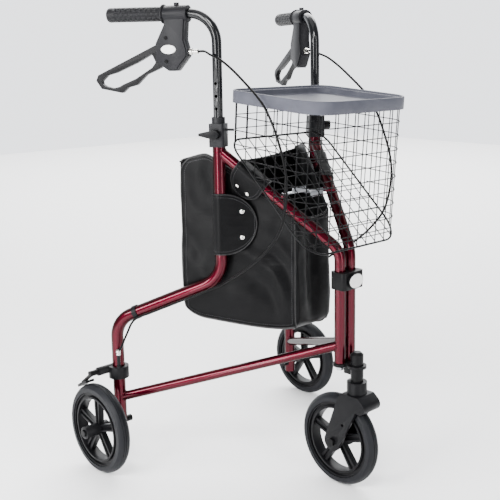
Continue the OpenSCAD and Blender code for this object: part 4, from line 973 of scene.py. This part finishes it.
# %% [markdown]
# ## Flaps and straps
# On each side a rounded flap wraps the upright and tucks in behind it, and a shorter strap wraps the
# diagonal. Each snaps to the bag's side with two press studs. Both are flat cloth bent round a tube, so each
# is a grid of points along its path, given a thickness, and edged with the same piping. The length of the
# path and the widths along it give the size of the cloth before it was bent.

# %% A flap's line round its tube
flap_in, flap_height = 14, 531
tip_steps, arc_steps, tail_steps, flap_rows = 16, 12, 4, 12
diagonal_low, diagonal_high = 488, 675
diagonal_turn = math.atan((diagonal_high - diagonal_low) / upright_reach)
strap_back = upright_reach - 64
strap_z = diagonal_low + math.tan(diagonal_turn) * strap_back


def wrapped(tube_r, front, rear):
    r = tube_r + 1.3
    start = math.atan2(-flap_in, -front) - math.acos((r - 1) / math.hypot(front, flap_in)) + 2 * math.pi
    stop = math.atan2(-flap_in, rear) + math.acos((r - 1) / math.hypot(rear, flap_in))
    around = [start + (stop - start) * k / arc_steps for k in range(arc_steps + 1)]
    arc = [Vector((math.cos(a), math.sin(a))) * r for a in around]
    tip = Vector((-front, -flap_in)) + arc[0].normalized()
    tail = Vector((rear, -flap_in)) + arc[-1].normalized()
    return ([tip.lerp(arc[0], (k / tip_steps) ** 1.6) for k in range(tip_steps)] + arc
            + [arc[-1].lerp(tail, k / tail_steps) for k in range(1, tail_steps + 1)])


def flap_half(ahead, front, half):
    short = max(-ahead - (front - half), 0)
    return math.sqrt(max(half ** 2 - short ** 2, 12))


def on_upright(s, ahead, out, across):
    return on_frame(s, upright_reach + ahead, out, flap_height + across)


def on_diagonal(s, ahead, out, across):
    back = strap_back + across * math.cos(diagonal_turn) - ahead * math.sin(diagonal_turn)
    z = strap_z + across * math.sin(diagonal_turn) + ahead * math.cos(diagonal_turn)
    return on_frame(s, back, out, z)


# Each kind: its place, tube radius, front reach, rear reach, half width, stud reach and half stud spacing
flap_kinds = {"flap": (on_upright, main_tube_r, 70, 16, 60, 41, 26),
              "strap": (on_diagonal, front_tube_r, 47, 14, 35, 31, 12.7)}
print("strap", round(strap_z), "mm up, on a tube at", round(math.degrees(diagonal_turn), 1), "degrees")


# %% Cloth sheets and their borders
def sheet_mesh(name, columns):
    count = len(columns[0])
    points = [tuple(p) for column in columns for p in column]
    faces = [(c * count + r, (c + 1) * count + r, (c + 1) * count + r + 1, c * count + r + 1)
             for c in range(len(columns) - 1) for r in range(count - 1)]
    mesh = bpy.data.meshes.new(name)
    mesh.from_pydata(points, [], faces)
    mesh.materials.append(bag_cloth)
    return mesh


def border(columns):
    return ([c[0] for c in columns] + columns[-1][1:-1] + [c[-1] for c in reversed(columns)]
            + list(reversed(columns[0][1:-1])))


# %% Flaps and straps with their piping
flap_piping_r, seam_inset, seam_lift = 1.5, 0.006, 0.0011


def cloth_flap(kind, side):
    s = SIDES[side]
    place, tube_r, front, rear, half, _, _ = flap_kinds[kind]
    path = wrapped(tube_r, front, rear)
    halves = [flap_half(ahead, front, half) for ahead, _ in path]
    columns = []
    for (ahead, out), h in zip(path, halves):
        columns.append([place(s, ahead, out, -h + 2 * h * k / flap_rows) for k in range(flap_rows + 1)])
    flap = finished(place_mesh(kind + "_" + side, sheet_mesh(kind, columns)), flap_wall, 0)
    edge = wires(kind + "_piping_" + side, [(border(columns), True)], flap_piping_r, vinyl_piping)
    inner = [[a.lerp(b, min(seam_inset / max((b - a).length, seam_inset), 0.5))
              for a, b in ((c[0], c[-1]), (c[-1], c[0]))] for c in columns[3:-1]]
    line = [c[0] for c in reversed(inner)] + [c[1] for c in inner]
    # The stitches face the way of the flat tip
    normal = (columns[8][6] - columns[10][6]).cross(columns[8][8] - columns[8][6]).normalized()
    normal = normal if normal.x * s > 0 else -normal
    spots = [(p + normal * seam_lift, normal, direction)
             for p, direction in along_line(line, closed=False)]
    seam = stitched(kind + "_stitches_" + side, spots)
    for piece in (flap, edge, seam):
        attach(piece, side + "_frame")
    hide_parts("bag_" + kind + "_" + side)


for side in SIDES:
    for kind in flap_kinds:
        cloth_flap(kind, side)

# %% [markdown]
# ## Press studs
# A press stud's cap is a shallow brass dome, nickel plated, with a rolled edge. It is a lathe shape: a
# profile turned about an axis. The same helper turns the grips, the screw heads and the cable adjusters.


# %% A lathe and the stud caps
def turned_mesh(name, profile, steps):
    around = [2 * math.pi * k / steps for k in range(steps)]
    rings = [[Vector((r * math.cos(a), r * math.sin(a), h)) * MM for a in around] for r, h in profile]
    mesh = loft(name, rings)
    shape = bmesh.new()
    shape.from_mesh(mesh)
    bmesh.ops.remove_doubles(shape, verts=shape.verts, dist=0.000001)
    bmesh.ops.recalc_face_normals(shape, faces=shape.faces)
    shape.to_mesh(mesh)
    shape.free()
    mesh.shade_smooth()
    return mesh


stud_cap = [(0, 0), (4.0, 0), (4.5, 0.3), (4.55, 0.8), (4.2, 1.2), (3.9, 1.1), (3.4, 1.7), (2.4, 2.25),
            (1.2, 2.5), (0, 2.55)]
stud_lift = 2.2
for side, s in SIDES.items():
    spots = []
    for place, tube_r, front, rear, half, stud_reach, stud_half in flap_kinds.values():
        lean = wrapped(tube_r, front, rear)[tip_steps].normalized()
        ahead, out = lean * (tube_r + stud_lift) + Vector((-lean.y, lean.x)) * stud_reach
        for across in (-stud_half, stud_half):
            p = place(s, ahead, out, across)
            facing = place(s, ahead + lean.x, out + lean.y, across) - p
            spots.append((p, facing.normalized(), up))
    studs = repeated("press_stud_caps_" + side, turned_mesh("stud_cap", stud_cap, 20), spots, nickel_plate)
    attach(studs, side + "_frame")
    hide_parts("press_studs_" + side)

# %% [markdown]
# ## Grips
# Each grip is a rubber sleeve with a flange at its inner end and rows of small raised pads that stop the hand
# from slipping. The sleeve is turned on the lathe, and the pads are one bevelled block repeated round it.

# %% Grip sleeves and pads
grip_start, grip_height = 107, 937
sleeve = [(9.6, 0), (17.4, 0), (18.3, 0.6), (18.5, 1.4), (18.5, 2.8), (18.2, 3.6), (17.2, 4), (15.0, 4.4),
          (13.7, 5.6), (13.3, 7.5), (13.3, 108), (13.6, 110.5), (14.2, 112.5), (14.3, 117), (13.9, 119.6),
          (12.8, 121.2), (11, 121.9), (6, 122), (0, 122)]
pad_rows, pad_count, pad_pitch = 12, 9, 11
pad_size, pad_r, first_pad, last_pad = (9.4, 5.8, 0.9), 13.5, 11.5, 107
for side, s in SIDES.items():
    axis, outwards = handle_direction(s, 1, 0), handle_direction(s, 0, 1)
    start = on_handle(s, grip_start, 0, grip_height)
    turn = Matrix((up.cross(axis), up, axis)).transposed().to_4x4()
    mesh = turned_mesh("grip_sleeve_" + side, sleeve, 36)
    mesh.transform(Matrix.Translation(start) @ turn)
    mesh.materials.append(grip_rubber)
    grip = place_mesh("grip_sleeve_" + side, mesh)
    spots = []
    for row in range(pad_rows):
        a = 2 * math.pi * row / pad_rows
        radial = outwards * math.cos(a) + up * math.sin(a)
        for k in range(pad_count):
            reach = first_pad + pad_pitch * k + (pad_pitch / 2 if row % 2 else 0)
            if reach < last_pad:
                spots.append((start + axis * reach * MM + radial * pad_r * MM, radial, axis))
    pads = repeated("grip_pads_" + side, block("pad", pad_size, 0.4), spots, grip_rubber)
    for piece in (grip, pads):
        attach(piece, side + "_handle")
    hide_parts("grip_" + side)

# %% [markdown]
# ## Brake cables
# A brake cable is a coiled steel sleeve in a black PVC sheath. It leaves the barrel adjuster under the grip,
# bows forward past the basket and runs down the slope to the rear brake. The route repeats the CAD model's
# points, a smooth curve goes through them, and the wire tree gives it its round section.

# %% Cables along their routes
slope_high, slope_low = 420, 318
slope_turn = math.atan((slope_high - slope_low) / (leg_reach - upright_reach))
barrel_z, barrel_backs = 865.7, (38.1, 25.1)
cable_loop = [(8, 13, 859), (-19, 28, 848), (-61, 52, 818), (-116, 84, 766), (-149, 103, 698),
              (-164, 113, 628), (-152, 106, 552), (-118, 85, 500), (-69, 57, 456), (-27, 30, 426)]
cable_run = [(0, 19, 10), (0.1, 13, 10.5), (0.26, 12.5, 10.8), (0.45, 12.7, 10.8), (0.64, 12.9, 10.8),
             (0.8, 14.3, 12)]
cable_tail = [(21, 48), (8, 20), (0, 8), (0, 0.6)]
foot_back, foot_out, foot_z = 466, 15.4, 246
cable_r, cable_length = 2.3, 0.96


def cable_route(s):
    route = [on_handle(s, back, 0, barrel_z) for back in barrel_backs]
    route += [on_frame(s, upright_reach + back, out, z) for back, out, z in cable_loop]
    for share, out, below in cable_run:
        back = upright_reach + share * (leg_reach - upright_reach)
        z = slope_low + (leg_reach - back) * math.tan(slope_turn) - below / math.cos(slope_turn)
        route.append(on_frame(s, back, out, z))
    return route + [on_frame(s, foot_back - ahead, foot_out, foot_z + rise) for ahead, rise in cable_tail]


def smooth_path(points, steps):
    line = []
    for i in range(len(points) - 1):
        a, b, c, d = (points[min(max(i + k, 0), len(points) - 1)] for k in (-1, 0, 1, 2))
        for k in range(steps):
            t = k / steps
            line.append(0.5 * (2 * b + (c - a) * t + (2 * a - 5 * b + 4 * c - d) * t * t
                               + (3 * b - a - 3 * c + d) * t ** 3))
    return line + [points[-1]]


for side, s in SIDES.items():
    line = smooth_path(cable_route(s), 8)
    cable = wires("cable_sheath_" + side, [(line, False)], cable_r, cable_sheath, 12)
    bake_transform(cable)
    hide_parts("brake_cable_" + side)

# %% [markdown]
# ## Welds
# Where one tube meets another, a welded bead runs round the joint under the paint. Each bead is the curve in
# which the smaller tube's surface meets the larger one's, swept with a small round section.


# %% Weld beads at the tube joints
def weld(s, back, z, slope, small_r, large_r, face):
    line = []
    for k in range(48):
        a = 2 * math.pi * k / 48
        out, lift = small_r * math.cos(a), small_r * math.sin(a)
        reach = face * math.sqrt(large_r ** 2 - out ** 2)
        along_mm = (reach + lift * math.sin(slope)) / math.cos(slope)
        height = z + along_mm * math.sin(slope) + lift * math.cos(slope)
        line.append(on_frame(s, back + reach, out, height + 0.25 * math.sin(11 * a)))
    return line, True


lower_front_z, lower_rear_z = 298, 148
lower_slope = math.atan((lower_rear_z - lower_front_z) / leg_reach)
bead_r, on_main_r, on_front_r = 1.5, 12.8, 11.2
for side, s in SIDES.items():
    beads = [weld(s, upright_reach, diagonal_high, diagonal_turn, front_tube_r, on_main_r, -1),
             weld(s, 0, lower_front_z, lower_slope, lower_tube_r, on_front_r, 1),
             weld(s, leg_reach, lower_rear_z, lower_slope, lower_tube_r, on_main_r, -1)]
    bead = wires("weld_beads_" + side, beads, bead_r, ruby_lacquer)
    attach(bead, side + "_frame")

# %% [markdown]
# ## Screws and blank ovals
# Each lever housing is two half shells held by two cross-head screws, with a plain raised oval between them.
# The screw is a lathe shape with a cross cut into its head, and the oval a low loft. A larger oval in a black
# rim sits on the front hinge.

# %% Screw heads and ovals on the brake housings
screw_back, screw_heights = 101, (892, 847)
housing_back, housing_face, housing_z = 96, 12, 870


def cross_screw(name):
    mesh = turned_mesh(name, [(0, 0), (3.6, 0), (3.6, 0.9), (3.2, 1.6), (2.2, 2.0), (0, 2.1)], 24)
    head = place_mesh(name, mesh)
    bars = [place_mesh(name + "_bar", block("bar", size, 0.05))
            for size in ((3.6, 0.8, 2.2), (0.8, 3.6, 2.2))]
    for bar in bars:
        bar.data.transform(Matrix.Translation((0, 0, 0.0022)))
        cut = head.modifiers.new("cross", "BOOLEAN")
        cut.object, cut.operation = bar, "DIFFERENCE"
    crossed = plain_mesh(head)
    for thing in [head] + bars:
        bpy.data.objects.remove(thing)
    return crossed


def oval_piece(name, place, half_w, half_h, turn, finish):
    around = [turn * 2 * math.pi * k / 40 for k in range(40)]
    rings = [[place(half_w * share * math.cos(a), lift, half_h * share * math.sin(a)) for a in around]
             for share, lift in ((1.0, -0.6), (1.0, 0.6), (0.97, 1.0), (0.9, 1.2), (0.5, 1.3), (0.05, 1.3))]
    mesh = loft(name, rings, close_last=True)
    mesh.materials.append(finish)
    return place_mesh(name, mesh)


def on_housing(s):
    return lambda back, lift, rise: on_handle(s, housing_back + back, housing_face + lift, housing_z + rise)


for side, s in SIDES.items():
    outwards = handle_direction(s, 0, 1)
    spots = [(on_handle(s, screw_back, housing_face, z), outwards, up) for z in screw_heights]
    screws = repeated("housing_screws_" + side, cross_screw("screw"), spots, black_powder)
    oval = oval_piece("housing_oval_" + side, on_housing(s), 15.5, 8.5, -s, white_nylon)
    for piece in (screws, oval):
        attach(piece, side + "_handle")


# %% Oval plate on the front hinge
bracket_face, bracket_z, rim_lift = 28, 430, 0.8


def on_bracket(lift_more):
    return lambda across, lift, rise: Vector((across, hinge_y - bracket_face - lift_more - lift,
                                              bracket_z + rise)) * MM


oval_rim = oval_piece("hinge_oval_rim", on_bracket(0), 20.5, 15.5, -1, black_nylon)
oval_face = oval_piece("hinge_oval", on_bracket(rim_lift), 18.8, 13.8, -1, white_nylon)
for piece in (oval_rim, oval_face):
    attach(piece, "front_hinge")
print("blank ovals on both housings and the front hinge")

# %% [markdown]
# ## Cable adjusters
# Where each cable meets the rear brake, a nickel plated adjuster with a finger nut sits round it. It is one
# more lathe shape, stood on the fitting at the cable's foot.

# %% Adjusters at the rear brakes
adjuster = [(2.4, 0), (4.2, 0), (4.5, 0.4), (4.5, 3.4), (4.1, 3.8), (3.1, 4), (3.1, 5.2), (4.7, 5.4),
            (4.9, 5.9), (4.9, 9.4), (4.5, 9.9), (3.2, 10.1), (2.9, 12.4), (2.4, 12.6)]
for side, s in SIDES.items():
    mesh = turned_mesh("cable_adjuster_" + side, adjuster, 24)
    mesh.transform(Matrix.Translation(on_frame(s, foot_back, foot_out, foot_z + 0.8)))
    mesh.materials.append(nickel_plate)
    nut = place_mesh("cable_adjuster_" + side, mesh)
    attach(nut, side + "_frame")
print("cable adjusters", adjuster[-1][1], "mm high")
